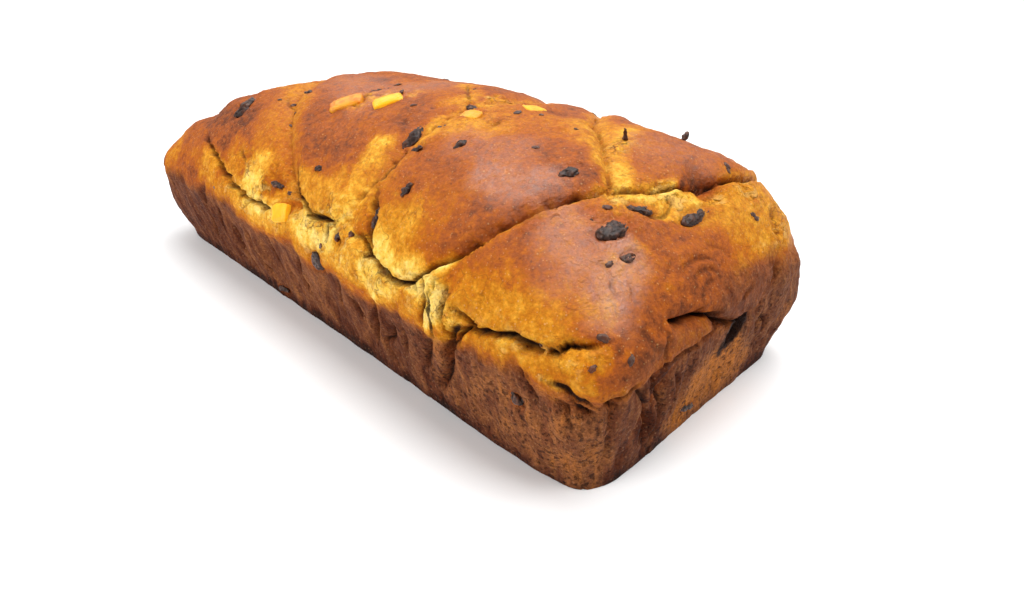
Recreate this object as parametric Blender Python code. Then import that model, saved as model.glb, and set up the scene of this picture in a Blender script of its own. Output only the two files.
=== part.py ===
"""A christmas bread baked in a tin: one twisted loaf with raisins and candied peel baked into its crust.

+X points along the loaf to its tall end, -Y to its front side and +Z up. The origin is under the
middle of the loaf, on the surface it stands on. Sizes below are in millimetres.
"""

import math

import bmesh
import bpy
import numpy as np
from mathutils import Matrix, Vector, noise
from mathutils.bvhtree import BVHTree

MM = 0.001

# The loaf, as the tin shapes it and as it rises above the tin
LENGTH_AT_RIM = 300.0
LENGTH_AT_BASE = 290.0
WIDTH_AT_RIM = 138.0
WIDTH_AT_BASE = 121.5
RIM_HEIGHT = 39.0
BASE_EDGE_RADIUS = 4.0
TIN_CORNER_RADIUS = 17.0
SIDE_SHOULDER = 38.0
END_SHOULDER = 38.0
SIDE_CURVE = 1.9
NEAR_END_CURVE = 2.3
FAR_END_CURVE = 2.0
TIN_CORNER_POWER = 14.0
CREST_CORNER_POWER = 2.8
CORNER_FADE_FROM = 25.0
CORNER_FADE_TO = 90.0
CORNER_FADE_CURVE = 0.6
CREST_X = (-150.0, -110.0, -50.0, 10.0, 70.0, 115.0, 150.0)
CREST_Z = (80.0, 84.0, 94.0, 93.0, 96.0, 101.0, 92.0)
CREST_SMOOTHING = 25.0

# The core from which the crust is projected outwards
CORE_HALF_LENGTH = 95.0
CORE_HALF_WIDTH = 18.0
CORE_LOW = 30.0
CORE_HIGH = 45.0
REACH = 140.0
HALVINGS = 26

# Mesh density: the grid before thinning, and the share of its faces that stay
GRID_X = 104
GRID_Y = 48
GRID_Z = 34
KEPT_SHARE = 0.125

# The crust's relief; noise is drawn from lattices set off from each other by the *_SEED places
BAND_MIDDLE = 47.0
BAND_HALF_HEIGHT = 10.0
BAND_BULGE = 1.2
WRINKLE_DEPTH = 1.6
WRINKLE_SPACING = 11.0
WRINKLE_LENGTH = 70.0
WRINKLE_SHARPNESS = 2.2
WRINKLE_SEED = (3.1, 7.7, 1.3)
WALL_FADE = 12.0
WALL_OVER_RIM = 8.0
WALL_FOOT = 10.0
WALL_FOOT_SHARE = 0.25
SWELL_SIZE = 38.0
SWELL_HEIGHT = 1.1
SWELL_SEED = (0.4, 5.2, 9.1)
SWELL_RISE = 20.0
CORE_BOX_HALF_HEIGHT = 48.0
CORE_BOX_INSET = 4.0
LEAST_HEIGHT = 0.2
FLAT_BASE_BELOW = 0.3

# Fruit: shrivelled balls, each in a pocket of the crust
POCKET_GAP = 0.3
SHRIVEL = 0.16
SHRIVEL_SCALE = 1.9
SQUARED_SIZE = 0.86
FRUIT_LIFT = 0.5
UPRIGHT_FLATNESS = 1.3
PEEL_SQUARENESS = 0.5
UPRIGHT_SEED = 60
PEEL_SEED = 80
RAISIN_THICKNESS = 0.62
RAISIN_LEAST_THICKNESS = 2.4
RAISIN_SHOWING = 0.34
PEEL_THICKNESS = 0.7
PEEL_SHOWING = 0.3

# Folds between the strands. Each is (left bank, right bank, points), where a point is
# (x, y, z, depth) and a bank is the distance over which the strand beside the fold rounds off,
# left and right being as seen from outside, looking along the fold.
FRONT_FOLDS = {
    "far_seam": (6, 8, [
        (-99, -57, 65, 1.5), (-86, -62, 62, 3.5), (-63, -67, 55, 4), (-40, -68, 50, 4), (-20, -68, 51, 3)]),
    "middle_strand_foot": (9, 6, [(-15, -57, 71, 1), (-6, -64, 62, 3), (3, -66, 57, 4), (23, -66, 58, 3.5)]),
    "pinched_edge": (9, 6, [(38, -54, 74, 1.5), (43, -61, 65, 3), (49, -67, 54, 3.5)]),
    "long_fold": (10, 15, [
        (36, -67, 56, 3), (56, -68, 52, 4), (72, -67, 54, 4), (88, -63, 63, 6),
        (100, -51, 74, 8.5), (108, -38, 79, 6), (113, -23, 81, 4)]),
    "near_seam": (7, 7, [
        (92, -68, 51, 4), (107, -67, 52, 4), (119, -65, 53, 5), (132, -62, 52, 4), (141, -54, 55, 1)]),
    "notch": (5, 5, [(90, -66, 59, 2), (90, -68, 49, 5), (92, -68, 36, 2)]),
    "notch_branch": (5, 5, [(107, -67, 52, 2), (97, -69, 44, 3), (93, -68, 33, 1.5)]),
    "end_fold": (7, 13, [
        (145, -36, 56, 2), (148, -18, 51, 5), (150, -6, 43, 5), (150, 17, 37, 4), (149, 34, 50, 2)]),
    "end_crease": (6, 8, [(149, -46, 41, 2), (150, -30, 42, 3.5), (150, -9, 43, 2.5)]),
    "end_ridge": (7, 9, [(146, -46, 8, 1), (148, -40, 20, 2.2), (149, -26, 33, 2.2), (150, -14, 41, 1)]),
    "corner_flute": (6, 6, [(146, -54, 36, 2.5), (145, -53, 22, 1.6), (144, -52, 8, 0.6)]),
}
CREST_FOLDS = {
    "far_strand": (13, 14, [
        (-3, -67, 56, 4), (-14, -61, 65, 4), (-34, -48, 78, 4), (-58, -25, 86, 3.5),
        (-72, 2, 88, 4), (-88, 30, 82, 5), (-98, 46, 75, 5)]),
    "middle_strand": (13, 8, [
        (30, -66, 58, 3), (34, -55, 73, 4), (38, -38, 84, 4), (42, -11, 93, 3),
        (49, 10, 93, 3), (44, 34, 85, 4), (30, 56, 69, 4), (20, 66, 56, 3)]),
    "near_strand": (9, 11, [
        (114, -19, 81, 5), (104, -8, 85, 5), (91, 5, 90, 4), (78, 17, 90, 4),
        (66, 38, 82, 4), (54, 66, 56, 3)]),
    "near_cap": (8, 10, [
        (113, -19, 81, 4), (119, -8, 79, 5), (124, 14, 76, 5), (127, 32, 72, 5),
        (129, 52, 66, 4), (128, 62, 56, 2)]),
}
HALF_TURNED_FOLDS = (
    "far_seam", "middle_strand_foot", "long_fold", "near_seam", "notch", "end_fold", "end_crease")
PATH_STEP = 1.2

# Swellings and pits of the crust: (x, y, z, radius, height)
LUMPS = [
    (26, -61, 66, 6, 2.2),
    (100, -13, 87, 8, 1.6),
    (84, -66, 57, 5, 1.8),
    (97, -65, 56, 5, 1.4),
    (146, -10, 58, 13, 1.5),
    (-96, -34, 80, 20, 2.6),
    (-24, -4, 93, 26, -2.8),
    (124, 34, 74, 20, 4.0),
    (148, 58, 30, 16, 1.6),
    (126, 17, 76, 6, -5.0),
    (150, 12, 31, 6, -4.0),
    (119, -67, 29, 4, -2.0),
    (14, -69, 40, 6, -1.0),
    (-134, -66, 24, 22, 3.2),
    (-122, -50, 60, 10, 2.2),
    (-97, -40, 74, 9, 2.6),
    (-82, -28, 80, 8, 1.4),
    (-55, -7, 87, 10, 1.4),
    (-36, 22, 88, 18, -1.6),
    (66, 16, 91, 11, -2.8),
    (75, 31, 85, 7, 1.6),
    (98, 32, 84, 14, 1.0),
    (127, 48, 70, 11, 2.8),
    (141, 52, 58, 10, 2.4),
    (148, 52, 49, 9, -3.6),
    (148, 56, 22, 13, 2.6),
    (98, -61, 2, 34, 1.3),
    (146, -57, 0, 9, -1.6),
    (146, 5, 0, 36, -0.8),
]

# Fruit: (face, across, along, length, width, turn in degrees). On the top, across and along are
# x and y; on the front and the back x and z; on the ends y and z.
RAISINS = [
    ("top", -82, -41, 17, 7.5, 105),
    ("top", -14, -11, 9, 4.6, 42),
    ("top", -51, -25, 8, 4.0, 1),
    ("top", 35, -33, 13, 5.6, 104),
    ("top", 42, -26, 6, 3.2, 27),
    ("top", 43, -38, 5.5, 3.0, 28),
    ("top", 59, -31, 6.5, 3.6, 74),
    ("top", 53, -51, 6.5, 3.6, 81),
    ("top", 1, -54, 6, 3.4, 31),
    ("top", 101, -23, 8.5, 5.0, 75),
    ("top", 87, 2, 10, 3.4, 20),
    ("top", 79, 13, 8, 4.0, 90),
    ("top", 104, -43, 8, 3.4, 56),
    ("top", 116, -31, 5, 3.6, -36),
    ("top", 123, -14, 10, 4.6, 51),
    ("top", 132, 4, 16, 4.8, 89),
    ("top", 124, -29, 12, 6.6, 83),
    ("top", 132, -31, 6.5, 3.8, 77),
    ("top", 125, 17, 11, 4.2, 72),
    ("top", 41, -9, 6, 3.4, 3),
    ("top", 26, 7, 5.5, 3.0, 8),
    ("top", 49, 6, 8, 3.2, 5),
    ("front", 28, 54, 5.5, 3.0, 68),
    ("front", 44, 63, 9, 3.4, -70),
    ("front", 14, 39, 11, 7.0, 60),
    ("front", -20, 60, 8, 3.2, 8),
    ("front", 90, 53, 5.5, 3.0, 70),
    ("front", 119, 29, 6, 3.6, -43),
    ("front", -35, 5, 8, 3.4, 8),
    ("near_end", 11, 30, 13, 6.0, 67),
    ("near_end", -7, 7, 10, 3.2, -17),
    ("top", -30, 44, 11, 5.0, 30),
    ("top", 22, 38, 8, 4.4, -50),
    ("top", 96, 52, 12, 5.6, 15),
    ("top", -112, 12, 9, 4.6, 70),
    ("back", -60, 34, 9, 5.0, 35),
    ("back", 70, 44, 8, 4.0, -60),
    ("far_end", 14, 36, 9, 4.6, 40),
]
UPRIGHT_RAISINS = [
    (98, 10, 10, 2.6, 8),
    (102, 40, 9, 2.4, -14),
]
PEEL = [
    ("top", 3, -20, 14, 8.0, 61),
    ("top", -17, -27, 16, 8.0, 51),
    ("top", 58, 7, 10, 5.5, 89),
    ("front", -12, 51.5, 10, 6.4, 21),
    ("top", 48, -16, 9, 4.5, 5),
    ("top", -50, 40, 10, 6.0, 20),
    ("back", 6, 50, 9, 5.6, -15),
]

CRUST_COLOUR = (0.42, 0.155, 0.045, 1.0)
RAISIN_COLOUR = (0.035, 0.022, 0.022, 1.0)
PEEL_COLOUR = (0.86, 0.46, 0.04, 1.0)


def crest_height(x):
    """Height of the loaf's back above the table, rolling from the low end to the tall one."""
    shifts = np.linspace(-CREST_SMOOTHING, CREST_SMOOTHING, 7)
    return np.mean([np.interp(x + shift, CREST_X, CREST_Z) for shift in shifts], axis=0)


def outside_loaf(points):
    """Above zero outside the smooth loaf and below zero inside it."""
    x, y, z = points.T
    rise = np.clip(z / RIM_HEIGHT, 0.0, 1.0)
    half_width = (WIDTH_AT_BASE + (WIDTH_AT_RIM - WIDTH_AT_BASE) * rise) / 2
    half_length = (LENGTH_AT_BASE + (LENGTH_AT_RIM - LENGTH_AT_BASE) * rise) / 2
    edge = np.clip(1 - z / BASE_EDGE_RADIUS, 0.0, 1.0)
    rounding = BASE_EDGE_RADIUS * (1 - np.sqrt(1 - edge**2))
    crest = crest_height(x)
    up_side = np.clip((z - SIDE_SHOULDER) / (crest - SIDE_SHOULDER), 0.0, 1.0)
    up_end = np.clip((z - END_SHOULDER) / (crest - END_SHOULDER), 0.0, 1.0)
    end_curve = np.where(x > 0, NEAR_END_CURVE, FAR_END_CURVE)
    half_width = half_width * (1 - up_side**SIDE_CURVE) ** (1 / SIDE_CURVE) - rounding
    half_length = half_length * (1 - up_end**end_curve) ** (1 / end_curve) - rounding
    fade = np.clip((z - CORNER_FADE_FROM) / (CORNER_FADE_TO - CORNER_FADE_FROM), 0.0, 1.0)
    power = TIN_CORNER_POWER + (CREST_CORNER_POWER - TIN_CORNER_POWER) * fade**CORNER_FADE_CURVE
    across = np.abs(x) / np.maximum(half_length, MM)
    along = np.abs(y) / np.maximum(half_width, MM)
    radius = np.clip(np.minimum(half_length, half_width), MM, TIN_CORNER_RADIUS)
    past_x = np.maximum(np.abs(x) - half_length + radius, 0.0)
    past_y = np.maximum(np.abs(y) - half_width + radius, 0.0)
    past = np.maximum(across**power + along**power, np.hypot(past_x, past_y) / radius)
    return np.where((z > crest) | (z < 0), 1.0, past - 1)


def onto_loaf(box_points):
    """Projects points of a surrounding box onto the smooth loaf, away from its core."""
    low = (-CORE_HALF_LENGTH, -CORE_HALF_WIDTH, CORE_LOW)
    high = (CORE_HALF_LENGTH, CORE_HALF_WIDTH, CORE_HIGH)
    core = np.clip(box_points, low, high)
    way = box_points - core
    way /= np.linalg.norm(way, axis=1, keepdims=True)
    near = np.zeros(len(core))
    far = np.full(len(core), REACH)
    for _ in range(HALVINGS):
        middle = (near + far) / 2
        inside = outside_loaf(core + way * middle[:, None]) < 0
        near = np.where(inside, middle, near)
        far = np.where(inside, far, middle)
    return core + way * near[:, None]


def smooth_path(points, step=PATH_STEP):
    """A Catmull-Rom line through the points: positions, directions and depths along it."""
    knots = np.array(points, dtype=float)
    knots = np.vstack([2 * knots[0] - knots[1], knots, 2 * knots[-1] - knots[-2]])
    line = []
    for a, b, c, d in zip(knots, knots[1:], knots[2:], knots[3:]):
        count = max(2, int(np.linalg.norm(c[:3] - b[:3]) / step))
        for t in np.arange(count) / count:
            line.append(b + (c - a) * t / 2 + (2 * a - 5 * b + 4 * c - d) * t**2 / 2
                        + (3 * b - a - 3 * c + d) * t**3 / 2)
    line = np.array(line + [knots[-2]])
    along = np.gradient(line[:, :3], axis=0)
    along /= np.linalg.norm(along, axis=1, keepdims=True)
    return line[:, :3], along, np.maximum(line[:, 3], 0.0)


def fold_depth(points, normals, fold):
    """How far one fold draws the crust in at each point."""
    left_bank, right_bank, knots = fold
    line, along, depths = smooth_path(knots)
    reach = max(left_bank, right_bank)
    near = ((points > line.min(axis=0) - reach) & (points < line.max(axis=0) + reach)).all(axis=1)
    here, facing = points[near], normals[near]
    nearest = ((here[:, None] - line[None]) ** 2).sum(axis=2).argmin(axis=1)
    offset = here - line[nearest]
    ahead = along[nearest]
    side = (np.cross(ahead, offset) * facing).sum(axis=1)
    inner = (nearest > 0) & (nearest < len(line) - 1)
    offset = offset - ahead * ((offset * ahead).sum(axis=1) * inner)[:, None]
    offset = offset - facing * (offset * facing).sum(axis=1)[:, None]
    distance = np.linalg.norm(offset, axis=1)
    bank = np.where(side > 0, left_bank, right_bank)
    t = np.clip(1 - distance / bank, 0.0, 1.0)
    depth = np.zeros(len(points))
    depth[near] = depths[nearest] * (0.5 * t**2 + 0.5 * (1 - np.sqrt(1 - t**2)))
    return depth


def all_folds():
    """Every fold, with the front ones also turned half round for the far half of the twist."""
    folds = {**FRONT_FOLDS, **CREST_FOLDS}
    for name in HALF_TURNED_FOLDS:
        left, right, knots = FRONT_FOLDS[name]
        folds["back_" + name] = (left, right, [(-x, -y, z, depth) for x, y, z, depth in knots])
    return folds


def noise_at(points, size, offset):
    """Smooth noise from -1 to 1 with features of about the given size."""
    return np.array([noise.noise(Vector(p) / size + Vector(offset)) for p in points])


def relief(points, normals):
    """Height of the true crust over the smooth loaf."""
    folds = all_folds()
    height = -np.max([fold_depth(points, normals, fold) for fold in folds.values()], axis=0)
    for x, y, z, radius, swell in LUMPS:
        distance = np.linalg.norm(points - (x, y, z), axis=1)
        height += swell * np.exp(-((distance / radius) ** 2))
    z = points[:, 2]
    upright = 1 - np.abs(normals[:, 2])
    band = np.clip(1 - ((z - BAND_MIDDLE) / BAND_HALF_HEIGHT) ** 2, 0.0, 1.0)
    height += BAND_BULGE * band * upright
    tall = points * (1, 1, WRINKLE_SPACING / WRINKLE_LENGTH)
    ridges = 1 - np.abs(noise_at(tall, WRINKLE_SPACING, WRINKLE_SEED)) * WRINKLE_SHARPNESS
    wall = np.clip((RIM_HEIGHT + WALL_OVER_RIM - z) / WALL_FADE, 0.0, 1.0)
    foot = np.clip(z / WALL_FOOT, WALL_FOOT_SHARE, 1.0)
    height -= WRINKLE_DEPTH * np.clip(ridges, 0.0, 1.0) ** 2 * wall * foot * upright
    risen = np.clip((z - RIM_HEIGHT) / SWELL_RISE, 0.0, 1.0)
    height += SWELL_HEIGHT * noise_at(points, SWELL_SIZE, SWELL_SEED) * risen
    return height


def material(name, colour, roughness):
    made = bpy.data.materials.new(name)
    made.use_nodes = True
    shader = made.node_tree.nodes["Principled BSDF"]
    shader.inputs["Base Color"].default_value = colour
    shader.inputs["Roughness"].default_value = roughness
    shader.inputs["Metallic"].default_value = 0.0
    made.diffuse_color = colour
    return made


def add_object(name, mesh, collection, surface=None):
    made = bpy.data.objects.new(name, mesh)
    collection.objects.link(made)
    if surface:
        mesh.materials.append(surface)
    return made


def make_loaf(collection, surface):
    bm = bmesh.new()
    bmesh.ops.create_cube(bm, size=2.0)
    for axis, count in enumerate((GRID_X, GRID_Y, GRID_Z)):
        edges = [e for e in bm.edges if abs(e.verts[0].co[axis] - e.verts[1].co[axis]) > 1.0]
        bmesh.ops.subdivide_edges(bm, edges=edges, cuts=count - 1, use_grid_fill=True)
    cube = np.array([v.co[:] for v in bm.verts])
    on_base = cube[:, 2] < -0.999
    box = cube * (LENGTH_AT_RIM / 2, WIDTH_AT_RIM / 2 - CORE_BOX_INSET, CORE_BOX_HALF_HEIGHT)
    box[:, 2] += CORE_BOX_HALF_HEIGHT
    points = onto_loaf(box)
    for vertex, point in zip(bm.verts, points):
        vertex.co = point
    bm.normal_update()
    normals = np.array([v.normal[:] for v in bm.verts])
    points = points + normals * relief(points, normals)[:, None]
    points[:, 2] = np.where(on_base, 0.0, np.maximum(points[:, 2], LEAST_HEIGHT))
    box_middle = (points.max(axis=0) + points.min(axis=0)) / 2
    points[:, :2] -= box_middle[:2]
    for vertex, point in zip(bm.verts, points):
        vertex.co = point * MM
    mesh = bpy.data.meshes.new("loaf_grid")
    bm.to_mesh(mesh)
    bm.free()
    grid = add_object("loaf_grid", mesh, collection)
    thin = grid.modifiers.new("thin", "DECIMATE")
    thin.ratio = KEPT_SHARE
    thin.use_collapse_triangulate = True
    bpy.context.view_layer.update()
    graph = bpy.context.evaluated_depsgraph_get()
    thinned = bpy.data.meshes.new_from_object(grid.evaluated_get(graph))
    bpy.data.objects.remove(grid)
    for vertex in thinned.vertices:
        if vertex.co.z < FLAT_BASE_BELOW * MM:
            vertex.co.z = 0.0
    loaf = add_object("loaf", thinned, collection, surface)
    thinned.shade_smooth()
    return loaf


FACES = {
    "top": (lambda u, v: (u, v, 200), (0, 0, -1), (1, 0, 0), (0, 1, 0)),
    "front": (lambda u, v: (u, -200, v), (0, 1, 0), (1, 0, 0), (0, 0, 1)),
    "back": (lambda u, v: (u, 200, v), (0, -1, 0), (1, 0, 0), (0, 0, 1)),
    "near_end": (lambda u, v: (300, u, v), (-1, 0, 0), (0, 1, 0), (0, 0, 1)),
    "far_end": (lambda u, v: (-300, u, v), (1, 0, 0), (0, 1, 0), (0, 0, 1)),
}


def place_on(crust, face, u, v, turn):
    """Frame of a piece on the crust: its x along the piece, its z out of the crust."""
    start, way, across, along = FACES[face]
    spot, out, _, _ = crust.ray_cast(Vector(start(u, v)) * MM, Vector(way))
    angle = math.radians(turn)
    long_axis = Vector(across) * math.cos(angle) + Vector(along) * math.sin(angle)
    long_axis = (long_axis - out * long_axis.dot(out)).normalized()
    frame = Matrix((long_axis, out.cross(long_axis), out)).transposed().to_4x4()
    frame.translation = spot
    return frame


def fruit_mesh(name, half_sizes, seed, squareness, grow=0.0):
    """A dried fruit: a ball drawn out to the half sizes, shrivelled, and squared where cut."""
    bm = bmesh.new()
    bmesh.ops.create_icosphere(bm, subdivisions=2, radius=1.0)
    for vertex in bm.verts:
        way = vertex.co.normalized()
        shrivel = 1 + SHRIVEL * noise.noise(way * SHRIVEL_SCALE + Vector((seed * 3.7, 1.1, 0.0)))
        largest = max(abs(way.x), abs(way.y), abs(way.z))
        way *= (1 - squareness) + squareness / largest * SQUARED_SIZE
        size = Vector(half_sizes) * shrivel + Vector((grow, grow, grow))
        vertex.co = Vector((way.x * size.x, way.y * size.y, way.z * size.z)) * MM
    mesh = bpy.data.meshes.new(name)
    bm.to_mesh(mesh)
    bm.free()
    mesh.shade_smooth()
    return mesh


def add_fruit(name, frame, half_sizes, seed, squareness, surface, pieces, cutters):
    piece = add_object(name, fruit_mesh(name, half_sizes, seed, squareness), pieces, surface)
    piece.matrix_world = frame
    cutter_mesh = fruit_mesh(name + "_pocket", half_sizes, seed, squareness, POCKET_GAP)
    cutter = add_object(name + "_pocket", cutter_mesh, cutters)
    cutter.matrix_world = frame
    cutter.display_type = "WIRE"
    cutter.hide_render = True


def main():
    for old in list(bpy.data.objects):
        bpy.data.objects.remove(old)
    pieces = bpy.data.collections.new("christmas_bread")
    cutters = bpy.data.collections.new("pockets")
    cutters.hide_render = True
    bpy.context.scene.collection.children.link(pieces)
    bpy.context.scene.collection.children.link(cutters)
    crust = material("crust", CRUST_COLOUR, 0.42)
    raisin = material("raisin", RAISIN_COLOUR, 0.5)
    peel = material("peel", PEEL_COLOUR, 0.25)

    loaf = make_loaf(pieces, crust)
    shell = BVHTree.FromPolygons(
        [v.co[:] for v in loaf.data.vertices], [p.vertices[:] for p in loaf.data.polygons])

    for number, (face, u, v, length, width, turn) in enumerate(RAISINS, start=1):
        thickness = max(width * RAISIN_THICKNESS, RAISIN_LEAST_THICKNESS)
        frame = place_on(shell, face, u, v, turn)
        frame = frame @ Matrix.Translation((0, 0, -thickness * (FRUIT_LIFT - RAISIN_SHOWING) * MM))
        sizes = (length / 2, width / 2, thickness / 2)
        add_fruit(f"raisin_{number:02d}", frame, sizes, number, 0.0, raisin, pieces, cutters)
    for number, (u, v, length, width, lean) in enumerate(UPRIGHT_RAISINS, start=1):
        frame = place_on(shell, "top", u, v, 0.0)
        frame = frame @ Matrix.Rotation(math.radians(lean), 4, "X")
        sizes = (width / 2, width / 2 / UPRIGHT_FLATNESS, length / 2)
        name = f"raisin_upright_{number:02d}"
        add_fruit(name, frame, sizes, UPRIGHT_SEED + number, 0.0, raisin, pieces, cutters)
    for number, (face, u, v, length, width, turn) in enumerate(PEEL, start=1):
        thickness = width * PEEL_THICKNESS
        frame = place_on(shell, face, u, v, turn)
        frame = frame @ Matrix.Translation((0, 0, -thickness * (FRUIT_LIFT - PEEL_SHOWING) * MM))
        sizes = (length / 2, width / 2, thickness / 2)
        name = f"peel_{number:02d}"
        add_fruit(name, frame, sizes, PEEL_SEED + number, PEEL_SQUARENESS, peel, pieces, cutters)

    pockets = loaf.modifiers.new("pockets", "BOOLEAN")
    pockets.operation = "DIFFERENCE"
    pockets.operand_type = "COLLECTION"
    pockets.collection = cutters
    pockets.solver = "EXACT"


main()
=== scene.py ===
import math

import bmesh
import bpy
import numpy as np
from mathutils import Matrix, Vector, noise
from mathutils.bvhtree import BVHTree
from mathutils.kdtree import KDTree


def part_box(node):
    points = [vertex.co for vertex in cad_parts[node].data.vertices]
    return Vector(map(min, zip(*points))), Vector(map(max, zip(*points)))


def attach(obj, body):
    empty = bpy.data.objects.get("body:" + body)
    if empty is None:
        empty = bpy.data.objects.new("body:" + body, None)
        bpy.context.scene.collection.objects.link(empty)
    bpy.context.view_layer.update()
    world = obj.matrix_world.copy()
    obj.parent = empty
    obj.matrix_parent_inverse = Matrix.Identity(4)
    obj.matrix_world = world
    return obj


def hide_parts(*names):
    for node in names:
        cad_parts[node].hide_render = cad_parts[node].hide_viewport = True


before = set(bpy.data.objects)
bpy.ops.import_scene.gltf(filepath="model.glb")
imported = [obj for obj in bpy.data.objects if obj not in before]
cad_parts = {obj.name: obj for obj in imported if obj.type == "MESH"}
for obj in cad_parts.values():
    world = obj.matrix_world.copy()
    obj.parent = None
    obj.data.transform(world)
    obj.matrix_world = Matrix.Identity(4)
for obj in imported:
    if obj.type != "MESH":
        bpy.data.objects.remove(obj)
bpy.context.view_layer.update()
mm = 0.001
print("frame loaded,", len(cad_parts), "solids")

# where the camera stands: angles in degrees, the rest in metres
view = {
    "azimuth": 45.25,
    "elevation": 31.0,
    "roll": -0.5,
    "distance": 0.2307,
    "target": (0.0926, -0.0400, 0.0400),
    "lens": 24.0,
    "sensor": 36.0,
}


def addCamera(spec):
    az, el, roll = (math.radians(spec[k]) for k in ("azimuth", "elevation", "roll"))
    back = Vector((math.sin(az) * math.cos(el), -math.cos(az) * math.cos(el), math.sin(el)))
    right = Vector((0, 0, 1)).cross(back).normalized()
    up = back.cross(right)
    turned = right * math.cos(roll) + up * math.sin(roll)
    up = up * math.cos(roll) - right * math.sin(roll)
    place = Matrix((turned, up, back)).transposed().to_4x4()
    place.translation = Vector(spec["target"]) + back * spec["distance"]
    data = bpy.data.cameras.new("camera")
    data.lens = spec["lens"]
    data.sensor_width = spec["sensor"]
    data.clip_start = 0.005
    cam = bpy.data.objects.new("camera", data)
    bpy.context.scene.collection.objects.link(cam)
    cam.matrix_world = place
    bpy.context.scene.camera = cam


addCamera(view)

# sizes in millimetres: how the tin shapes the loaf and how it rises above it
loafSpec = {
    "lengthAtRim": 300.0,
    "lengthAtBase": 290.0,
    "widthAtRim": 138.0,
    "widthAtBase": 121.5,
    "rimHeight": 39.0,
    "baseEdgeRadius": 4.0,
    "cornerRadius": 17.0,
    "sideShoulder": 38.0,
    "endShoulder": 38.0,
    "sideCurve": 1.9,
    "nearEndCurve": 2.3,
    "farEndCurve": 2.0,
    "tinCornerPower": 14.0,
    "crestCornerPower": 2.8,
    "cornerFade": (25.0, 90.0, 0.6),
    "crestX": (-150.0, -110.0, -50.0, 10.0, 70.0, 115.0, 150.0),
    "crestZ": (80.0, 84.0, 94.0, 93.0, 96.0, 101.0, 92.0),
    "crestSmoothing": 25.0,
    "core": ((-95.0, -18.0, 30.0), (95.0, 18.0, 45.0)),
    "reach": 140.0,
    "grid": (190, 84, 66),
    "gridLean": (0.34, -0.26, 0.0),
    "gridHeight": 96.0,
    "gridInset": 4.0,
    "crackReach": (2.6, 1.35),
    "bandMiddle": 47.0,
    "bandHalfHeight": 10.0,
    "bandBulge": 1.2,
    "wrinkleDepth": 1.6,
    "wrinkleSpacing": 11.0,
    "wrinkleLength": 70.0,
    "swellSize": 38.0,
    "swellHeight": 1.1,
    "tornHeight": 1.7,
    "riftDepth": 0.9,
    "fluteDepth": 1.9,
    "pitDepth": 0.75,
    "roughDepth": 0.3,
    "dripDepth": 1.8,
    "knobHeight": 1.6,
    "dripRoughness": 0.6,
    "dripLip": 0.35,
    "creaseDepth": 0.75,
    "blisterHeight": 0.7,
    "footSwell": 0.7,
}

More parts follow.
